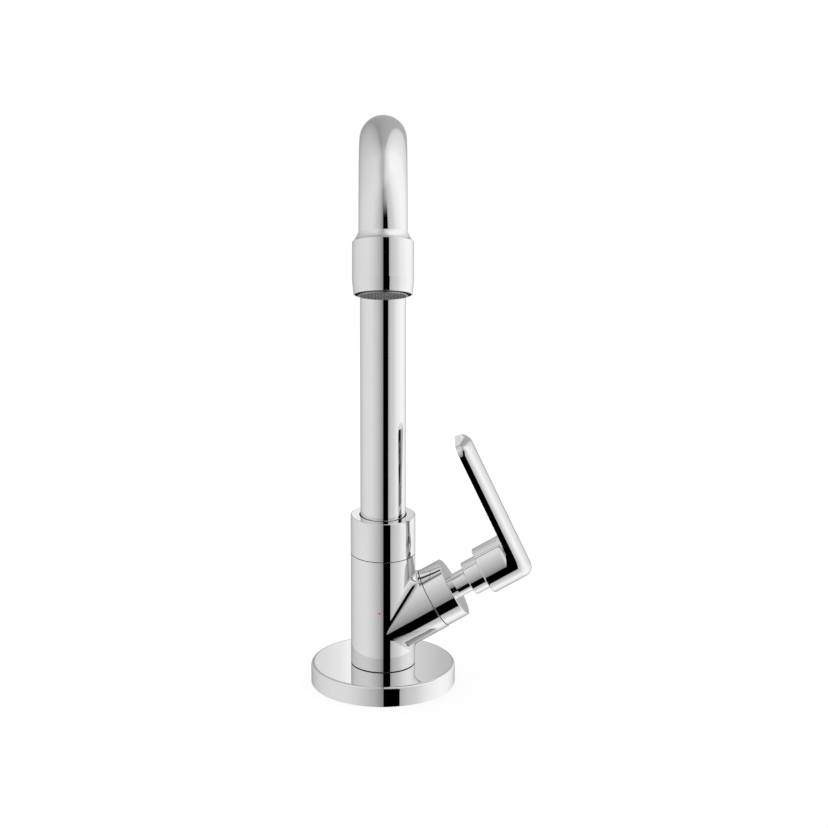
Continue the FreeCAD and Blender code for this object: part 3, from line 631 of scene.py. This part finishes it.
def spout_tube():
    """Circle carried up the column, round the bend and down into the nozzle, and back inside.

    On the bend, after a turn b, the path is at (0, B (cos b - 1), start + B sin b), and the
    circle's second direction is (0, cos b, sin b). Before and after it the path runs straight.
    """
    bend = np.linspace(0, BEND_TURN, BEND_STEPS)
    turn = np.concatenate([[0, 0], bend, [BEND_TURN, BEND_TURN]])
    run = np.concatenate([[tube_bottom - bend_start_height, -SUPPORT], np.zeros(BEND_STEPS),
                          [leg_length, leg_length + tube_entry]])
    middle = np.stack([np.zeros_like(turn), bend_radius * (np.cos(turn) - 1) - run * np.sin(turn),
                       bend_start_height + bend_radius * np.sin(turn) + run * np.cos(turn)], axis=-1)
    second = np.stack([np.zeros_like(turn), np.cos(turn), np.sin(turn)], axis=-1)
    around = full_turn(ROUND)[:, None, None]
    outwards = np.cos(around) * np.array([1, 0, 0]) + np.sin(around) * second
    outer = middle + tube_radius * outwards
    inner = (middle + (tube_radius - tube_wall) * outwards)[:, ::-1]
    return [sheet(np.concatenate([outer, inner], axis=1), True, True)]


def nozzle():
    """Nozzle turned from its section: coved shoulder, barrel, taper and the aerator's pocket."""
    cove = arc_through((nozzle_top_radius, 0), (nozzle_cove_radius, nozzle_cove_middle),
                       (nozzle_radius, nozzle_cove_length), COVE_STEPS)
    socket = tube_radius + seat_gap
    return [lathe(rounded([
        (socket, 0, nozzle_socket_edge),
        (nozzle_top_radius, 0, keen_edge),
        *((radius, height, 0) for radius, height in cove[1:-1]),
        (nozzle_radius, nozzle_cove_length, blunt_edge),
        (nozzle_radius, nozzle_barrel_end, nozzle_barrel_round),
        (nozzle_end_radius, nozzle_length, soft_edge),
        (mouth_radius, nozzle_length, fine_edge),
        (mouth_radius, mouth_start, fine_edge),
        (pocket_radius, mouth_start, fine_edge),
        (pocket_radius, pocket_start, fine_edge),
        (nozzle_way_radius, pocket_start, fine_edge),
        (nozzle_way_radius, tube_entry, fine_edge),
        (socket, tube_entry, fine_edge),
    ]), NOZZLE)]


def aerator_shell():
    """Shell of the aerator, with an inward lip, turned from its section."""
    return [lathe(rounded([
        (shell_bore_radius, shell_start, fine_edge),
        (shell_radius, shell_start, soft_edge),
        (shell_radius, mouth_start, fine_edge),
        (shell_nose_radius, mouth_start, fine_edge),
        (shell_nose_radius, shell_end, soft_edge),
        (shell_lip_radius, shell_end, fine_edge),
        (shell_lip_radius, screen_end, keen_edge),
        (shell_bore_radius, screen_end, keen_edge),
    ]), NOZZLE)]


def aerator_screen():
    """Woven net: flattened wires that pass over and under each other, in a rim folded over the shell.

    Wire k of one direction lies at k pitches from the middle; its height is half a wire's
    thickness times cos(pi (along / pitch + k)), and the other direction has the opposite sign.
    A wire's section is an ellipse, which shrinks to a point at both ends.
    """
    inside, lip = shell_lip_radius - screen_rim_width, shell_lip_radius - fold_play
    fold, face = shell_nose_radius + fold_play, shell_end + fold_play
    outside, front, stop = fold + screen_fold, face + screen_fold, mouth_start + fold_stop
    rim = lathe(rounded([
        (inside, screen_start, 0),
        (inside, front, screen_fold),
        (outside, front, screen_fold),
        (outside, stop, fold_edge),
        (fold, stop, fold_edge),
        (fold, face, 0),
        (lip, face, 0),
        (lip, screen_start, 0),
    ]), NOZZLE)
    reach = inside + screen_hold
    count = int(reach / screen_pitch)
    number = np.arange(-count, count + 1)[:, None]
    offset = number * screen_pitch
    along = np.sqrt(reach ** 2 - offset ** 2) * np.pad(np.linspace(-1, 1, WIRE_STEPS), 1, mode="edge")
    wave = np.cos(math.pi * (along / screen_pitch + number))[..., None]
    around, whole = full_turn(WIRE_ROUND), np.pad(np.ones(WIRE_STEPS), 1)[:, None]
    side = offset[..., None] + screen_wire * np.cos(around) * whole
    run = np.broadcast_to(along[..., None], side.shape)
    patches = [rim]
    for x, y, way in ((run, side, 1), (side, run, -1)):
        height = shell_end - screen_depth + screen_lift * (way * wave + np.sin(around) * whole)
        wires = place(np.stack([x, y, height], axis=-1), NOZZLE)
        patches += [sheet(wire, round_columns=True) for wire in wires]
    return patches


# Pieces of the branch and handle

def bonnet_sleeve():
    """Cap over the valve, turned from its section."""
    start = sleeve_start + sleeve_set_back
    return [lathe(rounded([
        (sleeve_bore_radius, start, fine_edge),
        (sleeve_radius, start, joint_edge),
        (sleeve_radius, sleeve_end, sleeve_edge_radius),
        (sleeve_hole_radius, sleeve_end, keen_edge),
        (sleeve_hole_radius, sleeve_wall_start, fine_edge),
        (sleeve_bore_radius, sleeve_wall_start, fine_edge),
    ]), BRANCH)]


def handle_neck():
    """Stem and step between sleeve and hub, turned from their section."""
    return [lathe(rounded([
        (spindle_bore_radius, neck_start, fine_edge),
        (stem_radius, neck_start, fine_edge),
        (stem_radius, step_start, stem_root_radius),
        (step_radius, step_start, step_edge_radius),
        (step_radius, hub_start, keen_edge),
        (neck_spigot_radius, hub_start, keen_edge),
        (neck_spigot_radius, neck_spigot_end, fine_edge),
        (spindle_bore_radius, neck_spigot_end, fine_edge),
    ]), BRANCH)]


def on_hub(up, across, along):
    """Points by their height over the branch's axis, across it and along it."""
    return place(np.stack(np.broadcast_arrays(-up, across, along), axis=-1), BRANCH)


def in_crown(across, along):
    """Centres of the lever's ball: sqrt((C - r)^2 - y^2) out from the crown's axis at y across."""
    return np.stack([crown_axis + np.sqrt(ball_span ** 2 - across ** 2), across, along], axis=-1)


def lever_ball():
    """Centres of a ball that rolls round inside the lever's wall, and its directions to the wall.

    Seen from outside, the wall is the hub's lower half, two straight sides and an end with
    round corners. The centres lie the ball's radius inside it. They run from the hub's lowest
    place up the right side to the end of its corner, across the end and down the left side.
    """
    room, play = hub_radius - lever_edge_radius, lever_tip_radius - lever_edge_radius
    swing = np.linspace(0, QUARTER, FOOT_STEPS)
    up, side = -room * np.cos(swing), room * np.sin(swing)
    out = crown_axis + np.sqrt(ball_span ** 2 - side ** 2)
    foot = in_crown(side, up * LEAN_COS + (out + up * LEAN_SIN) / LEAN_COS * LEAN_SIN)
    foot_wall = np.stack([np.cos(swing) * LEAN_SIN, np.sin(swing), -np.cos(swing) * LEAN_COS], axis=-1)
    beside_root = np.linspace(foot[-1, 2], root_end, ROOT_STEPS)[1:]
    beyond = root_end + (lever_shoulder - root_end) * eased(SIDE_ROWS, SIDE_SHARE)[1:]
    run = np.concatenate([beside_root, beyond])
    sides = in_crown(np.full_like(run, room), run)
    turn = np.linspace(0, QUARTER, TIP_STEPS)[1:]
    tip = in_crown(hub_radius - lever_tip_radius + play * np.cos(turn), lever_shoulder + play * np.sin(turn))
    tip_wall = np.stack([np.zeros_like(turn), np.cos(turn), np.sin(turn)], axis=-1)
    across = (hub_radius - lever_tip_radius) * (1 - 2 * eased(CROWN_ROWS, CROWN_SHARE)[1:-1])
    end = in_crown(across, np.full_like(across, lever_length - lever_edge_radius))
    right = np.concatenate([foot, sides, tip])
    right_wall = np.concatenate([foot_wall, np.broadcast_to([0, 1, 0], sides.shape), tip_wall])
    mirror = np.array([1, -1, 1])
    centre = np.concatenate([right, end, (right * mirror)[:0:-1]])
    end_wall = np.broadcast_to([0, 0, 1], end.shape)
    wall = np.concatenate([right_wall, end_wall, (right_wall * mirror)[:0:-1]])
    return centre, wall, len(right)


def root_turns(count):
    """Turns round the hub from one side over its top to the other, with even steps in each part.

    In the first and last part the lever's sides cut the hollow round off, and in between it
    runs out in the lever's inner face.
    """
    beside = np.linspace(QUARTER, root_limit, ROOT_STEPS)
    over = np.linspace(root_limit, -root_limit, count + 2 - 2 * ROOT_STEPS)
    return np.concatenate([beside, over[1:-1], -beside[::-1]])


def root_hollow(rise, aside):
    """Hollow round between the hub and the lever's inner face, up to the lever's width.

    At a turn t of the round it lies R + h (1 - cos t) from the hub's axis and
    h sin t + (its height over the axis) tan lean along it.
    """
    widest = np.minimum(root_reach, hub_radius / np.maximum(np.abs(aside), math.sin(root_limit)))
    bend = np.arccos(np.clip((root_reach - widest) / lever_root_radius, 0, 1))
    bend = bend[:, None] * np.linspace(0, 1, ROOT_STEPS)
    away = hub_radius + lever_root_radius * (1 - np.cos(bend))
    up, across = away * rise[:, None], away * aside[:, None]
    along = root_start + lever_root_radius * np.sin(bend) + up * LEAN_SIN / LEAN_COS
    return on_hub(up, across, along)


def hub_end(around_up, around_side, base):
    """Rounded rim, flat end and stepped blind bore of the hub, on its skin's own turns."""
    rim_radius, rim_place = edge_round(hub_radius, base, -1, hub_edge_radius, HUB_EDGE_STEPS)
    neck_bore, neck_stop = neck_spigot_radius + seat_gap, neck_spigot_end + seat_gap
    spindle_stop = spindle_end + seat_gap
    radius = np.concatenate([rim_radius, [neck_bore, neck_bore, spindle_bore_radius, spindle_bore_radius, 0]])
    along = np.concatenate([rim_place, [hub_start, neck_stop, neck_stop, spindle_stop, spindle_stop]])
    return on_hub(around_up[:, None] * radius, around_side[:, None] * radius, along)


def lever_handle():
    """Round hub and crowned lever, with a ball's round between its outer face and its walls.

    The ball touches the lever's wall and its crown, a cylinder of radius C along the lever,
    and the round is its arc between both. The crown lies sqrt(C^2 - y^2) from its axis at y
    across. The walls, the inner face and the hub's skin are straight rows between lines of
    such points.
    """
    centre, wall, right = lever_ball()
    crown = (centre - [crown_axis, 0, 0]) * [1, 1, 0] / ball_span
    arc = swung(wall, crown, angle_between(wall, crown), LEVER_EDGE_STEPS)
    rounds = place(centre[:, None] + lever_edge_radius * arc, LEVER)
    edge = (centre + lever_edge_radius * crown)[:right]
    width = edge[:, 1:2] * (1 - 2 * eased(CROWN_ROWS, CROWN_SHARE))
    out = crown_axis + np.sqrt(lever_crown_radius ** 2 - width ** 2)
    cap = place(np.stack(np.broadcast_arrays(out, width, edge[:, 2:]), axis=-1), LEVER)

    touch = centre + lever_edge_radius * wall
    upper = touch[FOOT_STEPS - 1:len(touch) + 2 - FOOT_STEPS]
    lower = np.concatenate([touch[len(touch) + 1 - FOOT_STEPS:], touch[:FOOT_STEPS]])
    turns = root_turns(len(upper))
    rise, aside = np.cos(turns), np.sin(turns)
    rise[0] = rise[-1] = 0
    hollow = root_hollow(rise, aside)
    # The walls end in the hollow round beside the root, and in the inner face beyond it.
    seam = hollow[:, -1]
    brim = seam.copy()
    brim[ROOT_STEPS:-ROOT_STEPS] = place(upper * [0, 1, 1], LEVER)[ROOT_STEPS:-ROOT_STEPS]
    free = slice(ROOT_STEPS - 1, len(brim) + 1 - ROOT_STEPS)
    shares = eased(WALL_ROWS, WALL_SHARE)
    walls = between(place(upper, LEVER), brim, shares)
    inner = between(seam[free], brim[free], shares)

    base = hub_start + hub_edge_radius
    swing = np.linspace(0, QUARTER, FOOT_STEPS)
    swing = np.concatenate([-swing[::-1], swing[1:]])
    down, over = -np.cos(swing), np.sin(swing)
    root_line = on_hub(hub_radius * down, hub_radius * over, root_start)
    base_line = on_hub(hub_radius * down, hub_radius * over, base)
    hood = between(hollow[:, 0], on_hub(hub_radius * rise, hub_radius * aside, base), shares)
    collar = between(place(lower, LEVER), root_line, shares)
    skirt = between(root_line, base_line, shares)
    ends = hub_end(np.concatenate([rise, down[1:-1]]), np.concatenate([aside, over[1:-1]]), base)
    round_patches = [sheet(patch, round_rows=True) for patch in (rounds, ends)]
    return round_patches + [sheet(patch) for patch in (cap, walls, collar, skirt, hollow, hood, inner)]


# Shader nodes

def grey(level):
    """Opaque grey of one level."""
    return (level, level, level, 1)


def feed(tree, socket, value):
    """Another node's output linked to a socket, or a number or colour put on it."""
    if isinstance(value, bpy.types.NodeSocket):
        tree.links.new(value, socket)
    else:
        socket.default_value = value


def worked_out(tree, operation, *values):
    """Output of one operation on links or numbers."""
    node = tree.nodes.new("ShaderNodeMath")
    node.operation = operation
    for socket, value in zip(node.inputs, values):
        feed(tree, socket, value)
    return node.outputs["Value"]


def remapped(tree, value, low, high, first=0.0, last=1.0, smooth=False):
    """Output that runs from the first level, where the value is low, to the last, where it is high."""
    node = tree.nodes.new("ShaderNodeMapRange")
    node.interpolation_type = "SMOOTHSTEP" if smooth else "LINEAR"
    for name, level in (("From Min", low), ("From Max", high), ("To Min", first), ("To Max", last)):
        node.inputs[name].default_value = level
    tree.links.new(value, node.inputs["Value"])
    return node.outputs["Result"]


def blended(tree, share, first, second):
    """Colour that runs from the first, where the share is 0, to the second, where it is 1."""
    node = tree.nodes.new("ShaderNodeMix")
    node.data_type = "RGBA"
    for name, value in (("Factor", share), ("A", first), ("B", second)):
        feed(tree, node.inputs[name], value)
    return node.outputs["Result"]


def ramped(tree, value, levels):
    """Grey that follows (position, level) pairs, the first at 0 and the last at 1."""
    node = tree.nodes.new("ShaderNodeValToRGB")
    stops = node.color_ramp.elements
    stops[0].color, stops[-1].color = grey(levels[0][1]), grey(levels[-1][1])
    for position, level in levels[1:-1]:
        stops.new(position).color = grey(level)
    tree.links.new(value, node.inputs["Fac"])
    return node.outputs["Color"]


def new_material(name):
    """Node material, with its tree and its Principled shader."""
    material = bpy.data.materials.new(name)
    material.use_nodes = True
    tree = material.node_tree
    return material, tree, tree.nodes["Principled BSDF"]


# Materials

SMEAR_DETAIL, GRAIN_DETAIL = 3.0, 5.0
SMEAR_START, SMEAR_FULL = 0.45, 0.75    # levels of the noise between which a smear sets in
GRAIN_HEIGHT = 0.0002
# Painted shade: chrome's colour darkens with each further mirror bounce, so chrome seen in chrome reads dark
SHADE_START_BOUNCE = 1.0
PAINTED_SHADE_LEVEL = 0.03              # painted shade: grey given to chrome that is seen in chrome at the bounce where that shade is full

# Each finish is dark and rough where it is smeared, and light and glossy where it is clean.
FINISHES = {
    # Chrome also carries painted shade: its colour darkens in its deeper mirror bounces
    "chrome_plate": dict(
        dark=(0.785, 0.785, 0.785), light=(0.805, 0.805, 0.805), rough=0.02, gloss=0.01, metal=1.0,
        smear_scale=60, grain_scale=900, bump=0, full_shade_bounce=3.0),
    "bare_brass": dict(
        dark=(0.60, 0.43, 0.18), light=(0.74, 0.57, 0.28), rough=0.38, gloss=0.22, metal=1.0,
        smear_scale=90, grain_scale=1500, bump=0.15),
    "stainless": dict(
        dark=(0.24, 0.24, 0.245), light=(0.33, 0.33, 0.335), rough=0.34, gloss=0.22, metal=1.0,
        smear_scale=120, grain_scale=1800, bump=0.12),
    "black_rubber": dict(
        dark=(0.012, 0.012, 0.012), light=(0.03, 0.03, 0.03), rough=0.75, gloss=0.55, metal=0.0,
        smear_scale=150, grain_scale=2500, bump=0.3),
    "bearing_plastic": dict(
        dark=(0.07, 0.07, 0.072), light=(0.11, 0.11, 0.112), rough=0.5, gloss=0.38, metal=0.0,
        smear_scale=110, grain_scale=2000, bump=0.1),
    "plug_plastic": dict(
        dark=(0.55, 0.56, 0.57), light=(0.64, 0.65, 0.66), rough=0.22, gloss=0.12, metal=1.0,
        smear_scale=200, grain_scale=1800, bump=0.05),
    "white_ceramic": dict(
        dark=(0.84, 0.84, 0.82), light=(0.92, 0.92, 0.90), rough=0.3, gloss=0.18, metal=0.0,
        smear_scale=140, grain_scale=2400, bump=0.05),
    "index_red": dict(
        dark=(0.62, 0.02, 0.02), light=(0.85, 0.05, 0.04), rough=0.3, gloss=0.2, metal=0.0,
        smear_scale=900, grain_scale=6000, bump=0.05),
}


def handling_marks():
    """Group: faint smears and fine polishing variation over a surface.

    Smears are a mask, large soft noise taken between two levels, and Grain is fine noise.
    """
    group = bpy.data.node_groups.new("handling_marks", "ShaderNodeTree")
    for way, names in (("INPUT", ("Smear Scale", "Grain Scale")), ("OUTPUT", ("Smears", "Grain"))):
        for name in names:
            group.interface.new_socket(name, in_out=way, socket_type="NodeSocketFloat")
    entry, leave = group.nodes.new("NodeGroupInput"), group.nodes.new("NodeGroupOutput")
    spot = group.nodes.new("ShaderNodeTexCoord")

    def noise(scale, detail):
        """Noise on the object's coordinates, at the scale of one of the group's inputs."""
        texture = group.nodes.new("ShaderNodeTexNoise")
        texture.inputs["Detail"].default_value = detail
        group.links.new(spot.outputs["Object"], texture.inputs["Vector"])
        group.links.new(entry.outputs[scale], texture.inputs["Scale"])
        return texture.outputs["Fac"]

    smears = remapped(group, noise("Smear Scale", SMEAR_DETAIL), SMEAR_START, SMEAR_FULL)
    group.links.new(smears, leave.inputs["Smears"])
    group.links.new(noise("Grain Scale", GRAIN_DETAIL), leave.inputs["Grain"])
    return group


MARKS = handling_marks()


def finish_of(name, dark, light, rough, gloss, metal, smear_scale, grain_scale, bump, full_shade_bounce=None):
    """Material whose colour runs from light to dark and roughness from gloss to rough by its smears.

    With a full-shade bounce given, the colour is painted darker as shade in reflections of reflections, from
    the first bounce to that one.
    """
    material, tree, shader = new_material(name)
    marks = tree.nodes.new("ShaderNodeGroup")
    marks.node_tree = MARKS
    marks.inputs["Smear Scale"].default_value = smear_scale
    marks.inputs["Grain Scale"].default_value = grain_scale
    smears = marks.outputs["Smears"]
    colour = blended(tree, smears, (*light, 1), (*dark, 1))
    if full_shade_bounce:
        # Painted shade: the colour falls towards a dark grey as the ray's bounce count grows
        path = tree.nodes.new("ShaderNodeLightPath")
        unshaded_share = remapped(tree, path.outputs["Ray Depth"], SHADE_START_BOUNCE, full_shade_bounce, first=1.0, last=0.0)
        colour = blended(tree, unshaded_share, grey(PAINTED_SHADE_LEVEL), colour)
    tree.links.new(colour, shader.inputs["Base Color"])
    tree.links.new(remapped(tree, smears, 0, 1, gloss, rough), shader.inputs["Roughness"])
    shader.inputs["Metallic"].default_value = metal
    if bump:
        relief = tree.nodes.new("ShaderNodeBump")
        relief.inputs["Strength"].default_value = bump
        relief.inputs["Distance"].default_value = GRAIN_HEIGHT
        tree.links.new(marks.outputs["Grain"], relief.inputs["Height"])
        tree.links.new(relief.outputs["Normal"], shader.inputs["Normal"])
    return material


MATERIALS = {name: finish_of(name, **finish) for name, finish in FINISHES.items()}

for row in frame["record"]["subparts"]:
    node = frame["nodes"][row["node"]]
    node.data.materials.clear()
    node.data.materials.append(MATERIALS[row["material_slot"]])


# The tap

def piece(name, patches, body, slot, node):
    """Mesh object from welded patches, facing outwards and shaded smooth up to the crease.

    It rides on a body, has a slot's material and is shown in place of a solid's node.
    """
    points, faces = weld(patches)
    mesh = bpy.data.meshes.new(name)
    mesh.from_pydata(points * MILLIMETRE, [], faces)
    shell = bmesh.new()
    shell.from_mesh(mesh)
    bmesh.ops.recalc_face_normals(shell, faces=shell.faces)
    shell.to_mesh(mesh)
    shell.free()
    mesh.shade_smooth()
    mesh.set_sharp_from_angle(angle=math.radians(CREASE))
    mesh.materials.append(MATERIALS[slot])
    shown = bpy.data.objects.new(name, mesh)
    bpy.context.scene.collection.objects.link(shown)
    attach(shown, body)
    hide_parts(node)


piece("base_flange_shell", base_flange(), "body", "chrome_plate", "base_flange")
piece("base_gasket_ring", base_gasket(), "body", "black_rubber", "base_gasket")
piece("seat_ring", body_seat_ring(), "body", "black_rubber", "body_seat_ring")
piece("threaded_shank", mounting_shank(), "body", "bare_brass", "mounting_shank")
piece("deck_rubber_ring", deck_rubber(), "body", "black_rubber", "deck_rubber")
piece("deck_washer_ring", deck_washer(), "body", "stainless", "deck_washer")
piece("hexagon_backnut", backnut(), "body", "bare_brass", "backnut")
piece("column_casting", tap_body(), "body", "chrome_plate", "tap_body")
piece("red_index_dot", index_dot(), "body", "index_red", "index_dot")
piece("swivel_collar", spout_collar(), "body", "chrome_plate", "spout_collar")
piece("valve_sleeve", bonnet_sleeve(), "body", "chrome_plate", "bonnet_sleeve")
piece("swan_neck_tube", spout_tube(), "spout", "chrome_plate", "spout_tube")
piece("outlet_nozzle", nozzle(), "spout", "chrome_plate", "nozzle")
piece("outlet_shell", aerator_shell(), "spout", "chrome_plate", "aerator_shell")
piece("woven_screen", aerator_screen(), "spout", "stainless", "aerator_screen")
piece("neck_and_step", handle_neck(), "handle", "chrome_plate", "handle_neck")
piece("lever_and_hub", lever_handle(), "handle", "chrome_plate", "lever_handle")
piece("hub_plug", screw_plug(), "handle", "plug_plastic", "screw_plug")


# Floor, light and camera

FLOOR_HALF = 4.0
FLOOR_SHADE, FLOOR_GLOW = 0.2, 0.82     # light that falls on the floor, and its own
FLOOR_ROUGHNESS = 0.9

# The room's light by the direction round the tap, from the camera's side towards +X, and by the
# side of a direction overhead, from -X to +X
SKY_PEAK = 1.04
SKY_LEVEL = 1.1                # of the room, so that twice mirrored parts of it are darker
SKY = (
    (-180, 0.40), (-167, 0.33), (-160, 0.43), (-150, 0.53), (-134, 0.64), (-118, 0.725), (-90, 0.785),
    (-62, 0.79), (-45, 0.72), (-27, 0.60), (-12, 0.46), (0, 0.27), (28, 0.49), (38, 0.61), (57, 0.73),
    (73, 0.90), (104, 1.04), (127, 1.0), (143, 0.83), (156, 0.71), (160, 0.44), (180, 0.41),
)
CEILING = ((-1.0, 0.72), (-0.35, 0.70), (-0.15, 0.57), (0.0, 0.46), (0.2, 0.78), (0.5, 0.88), (1.0, 0.95))
CEILING_START, CEILING_FULL = 60.0, 80.0
FLAG_LEFT, FLAG_RIGHT = 0.6, 26.6
FLAG_SOFTNESS = 0.5
FLAG_TOP, FLAG_FADE = 40.0, 60.0

# The card's place, and its light by the share of its width from -X to +X
CARD_AWAY, CARD_HALF, CARD_LOW, CARD_HIGH = 0.4, 0.055, 0.15, 0.235
CARD_FADE = 0.04               # over which the card's light passes into the room's
CARD_EDGE = 0.41
CARD = (
    (0.0, 0.74), (0.17, 0.79), (0.26, 0.88), (0.30, 0.965), (0.5, 0.82), (0.71, 0.68), (0.84, 0.56),
    (1.0, 0.5),
)

CAMERA_LENS, CAMERA_SENSOR = 148.96, 36.0      # in millimetres
CAMERA_SHIFT = 0.0374
CAMERA_NEAR, CAMERA_FAR = 0.05, 20.0
CAMERA_EYE, CAMERA_TARGET = (0, -1.6, 0.6461), (0, 0, 0.14005)


def stage_plane(name, corners, material):
    """Four-cornered plane of the stage."""
    mesh = bpy.data.meshes.new(name)
    mesh.from_pydata(corners, [], [(0, 1, 2, 3)])
    mesh.materials.append(material)
    plane = bpy.data.objects.new(name, mesh)
    bpy.context.scene.collection.objects.link(plane)
    return plane


def studio_floor():
    """White floor that keeps the tap's faint shadow."""
    material, _, shader = new_material("pale_floor")
    shader.inputs["Base Color"].default_value = grey(FLOOR_SHADE)
    shader.inputs["Specular IOR Level"].default_value = 0
    shader.inputs["Roughness"].default_value = FLOOR_ROUGHNESS
    shader.inputs["Emission Color"].default_value = grey(1)
    shader.inputs["Emission Strength"].default_value = FLOOR_GLOW
    half = FLOOR_HALF
    corners = [(-half, -half, 0), (half, -half, 0), (half, half, 0), (-half, half, 0)]
    stage_plane("studio_floor", corners, material).visible_glossy = False


def back_card():
    """Small upright card behind the tap, mirrored in the tops of the base and collar.

    Its own light, by the place across it, fades into the room's light towards its four edges.
    """
    side, low, high = CARD_HALF + CARD_FADE, CARD_LOW - CARD_FADE, CARD_HIGH + CARD_FADE
    material, tree, shader = new_material("card_light")
    spot, parts = tree.nodes.new("ShaderNodeTexCoord"), tree.nodes.new("ShaderNodeSeparateXYZ")
    tree.links.new(spot.outputs["Object"], parts.inputs["Vector"])
    across, up = parts.outputs["X"], parts.outputs["Z"]
    light = ramped(tree, remapped(tree, across, -CARD_HALF, CARD_HALF), CARD)
    share = remapped(tree, across, -side, -CARD_HALF, smooth=True)
    for way, edge, inside in ((across, side, CARD_HALF), (up, low, CARD_LOW), (up, high, CARD_HIGH)):
        share = worked_out(tree, "MULTIPLY", share, remapped(tree, way, edge, inside, smooth=True))
    tree.links.new(blended(tree, share, grey(CARD_EDGE), light), shader.inputs["Emission Color"])
    shader.inputs["Emission Strength"].default_value = SKY_LEVEL
    shader.inputs["Base Color"].default_value = grey(0)
    shader.inputs["Specular IOR Level"].default_value = 0
    corners = [(x, CARD_AWAY, z) for x, z in ((-side, low), (side, low), (side, high), (-side, high))]
    card = stage_plane("back_card", corners, material)
    card.visible_camera = card.visible_diffuse = card.visible_shadow = False


def studio_world():
    """White for the camera, and for reflections a soft room with one upright black flag.

    The room's light depends on the direction round the tap, and overhead on its side. The flag
    lies between two directions round the tap and fades out high up.
    """
    world = bpy.data.worlds.new("studio")
    bpy.context.scene.world = world
    world.use_nodes = True
    tree = world.node_tree

    def times(first, second):
        """Product of two outputs or numbers."""
        return worked_out(tree, "MULTIPLY", first, second)

    def rest_of(share):
        """What a share leaves of the whole."""
        return worked_out(tree, "SUBTRACT", 1, share)

    def beyond(value, low, high):
        """Smooth step from 0 at the low value to 1 at the high one."""
        return remapped(tree, value, low, high, smooth=True)

    def room_light(value, levels):
        """Light by a value's place among the levels, as a share of the sky's peak."""
        low, high = levels[0][0], levels[-1][0]
        stops = [((spot - low) / (high - low), light / SKY_PEAK) for spot, light in levels]
        return ramped(tree, remapped(tree, value, low, high), stops)

    way, parts = tree.nodes.new("ShaderNodeTexCoord"), tree.nodes.new("ShaderNodeSeparateXYZ")
    tree.links.new(way.outputs["Generated"], parts.inputs["Vector"])
    turn = worked_out(tree, "ARCTAN2", parts.outputs["X"], times(parts.outputs["Y"], -1))
    around = worked_out(tree, "DEGREES", turn)
    rise = worked_out(tree, "DEGREES", worked_out(tree, "ARCSINE", parts.outputs["Z"]))
    flag_left = beyond(around, FLAG_LEFT - FLAG_SOFTNESS, FLAG_LEFT + FLAG_SOFTNESS)
    flag_right = beyond(around, FLAG_RIGHT - FLAG_SOFTNESS, FLAG_RIGHT + FLAG_SOFTNESS)
    flag_low = rest_of(beyond(rise, FLAG_TOP, FLAG_FADE))
    flag = times(worked_out(tree, "SUBTRACT", flag_left, flag_right), flag_low)
    overhead = beyond(rise, CEILING_START, CEILING_FULL)
    walls = times(times(room_light(around, SKY), rest_of(flag)), rest_of(overhead))
    above = times(room_light(parts.outputs["X"], CEILING), overhead)
    light = times(worked_out(tree, "ADD", walls, above), SKY_PEAK * SKY_LEVEL)
    mirrored = tree.nodes.new("ShaderNodeLightPath").outputs["Is Glossy Ray"]
    strength = worked_out(tree, "ADD", times(light, mirrored), rest_of(mirrored))
    background = tree.nodes["Background"]
    background.inputs["Color"].default_value = grey(1)
    tree.links.new(strength, background.inputs["Strength"])


def photo_camera():
    """Camera at the photograph's angle."""
    camera = bpy.data.cameras.new("photo_camera")
    camera.lens, camera.sensor_width = CAMERA_LENS, CAMERA_SENSOR
    camera.shift_x = CAMERA_SHIFT
    camera.clip_start, camera.clip_end = CAMERA_NEAR, CAMERA_FAR
    holder = bpy.data.objects.new("photo_camera", camera)
    bpy.context.scene.collection.objects.link(holder)
    eye, target = Vector(CAMERA_EYE), Vector(CAMERA_TARGET)
    holder.location = eye
    holder.rotation_euler = (target - eye).to_track_quat("-Z", "Y").to_euler()
    bpy.context.scene.camera = holder


studio_floor()
back_card()
studio_world()
photo_camera()
bpy.context.scene.view_settings.view_transform = "Standard"
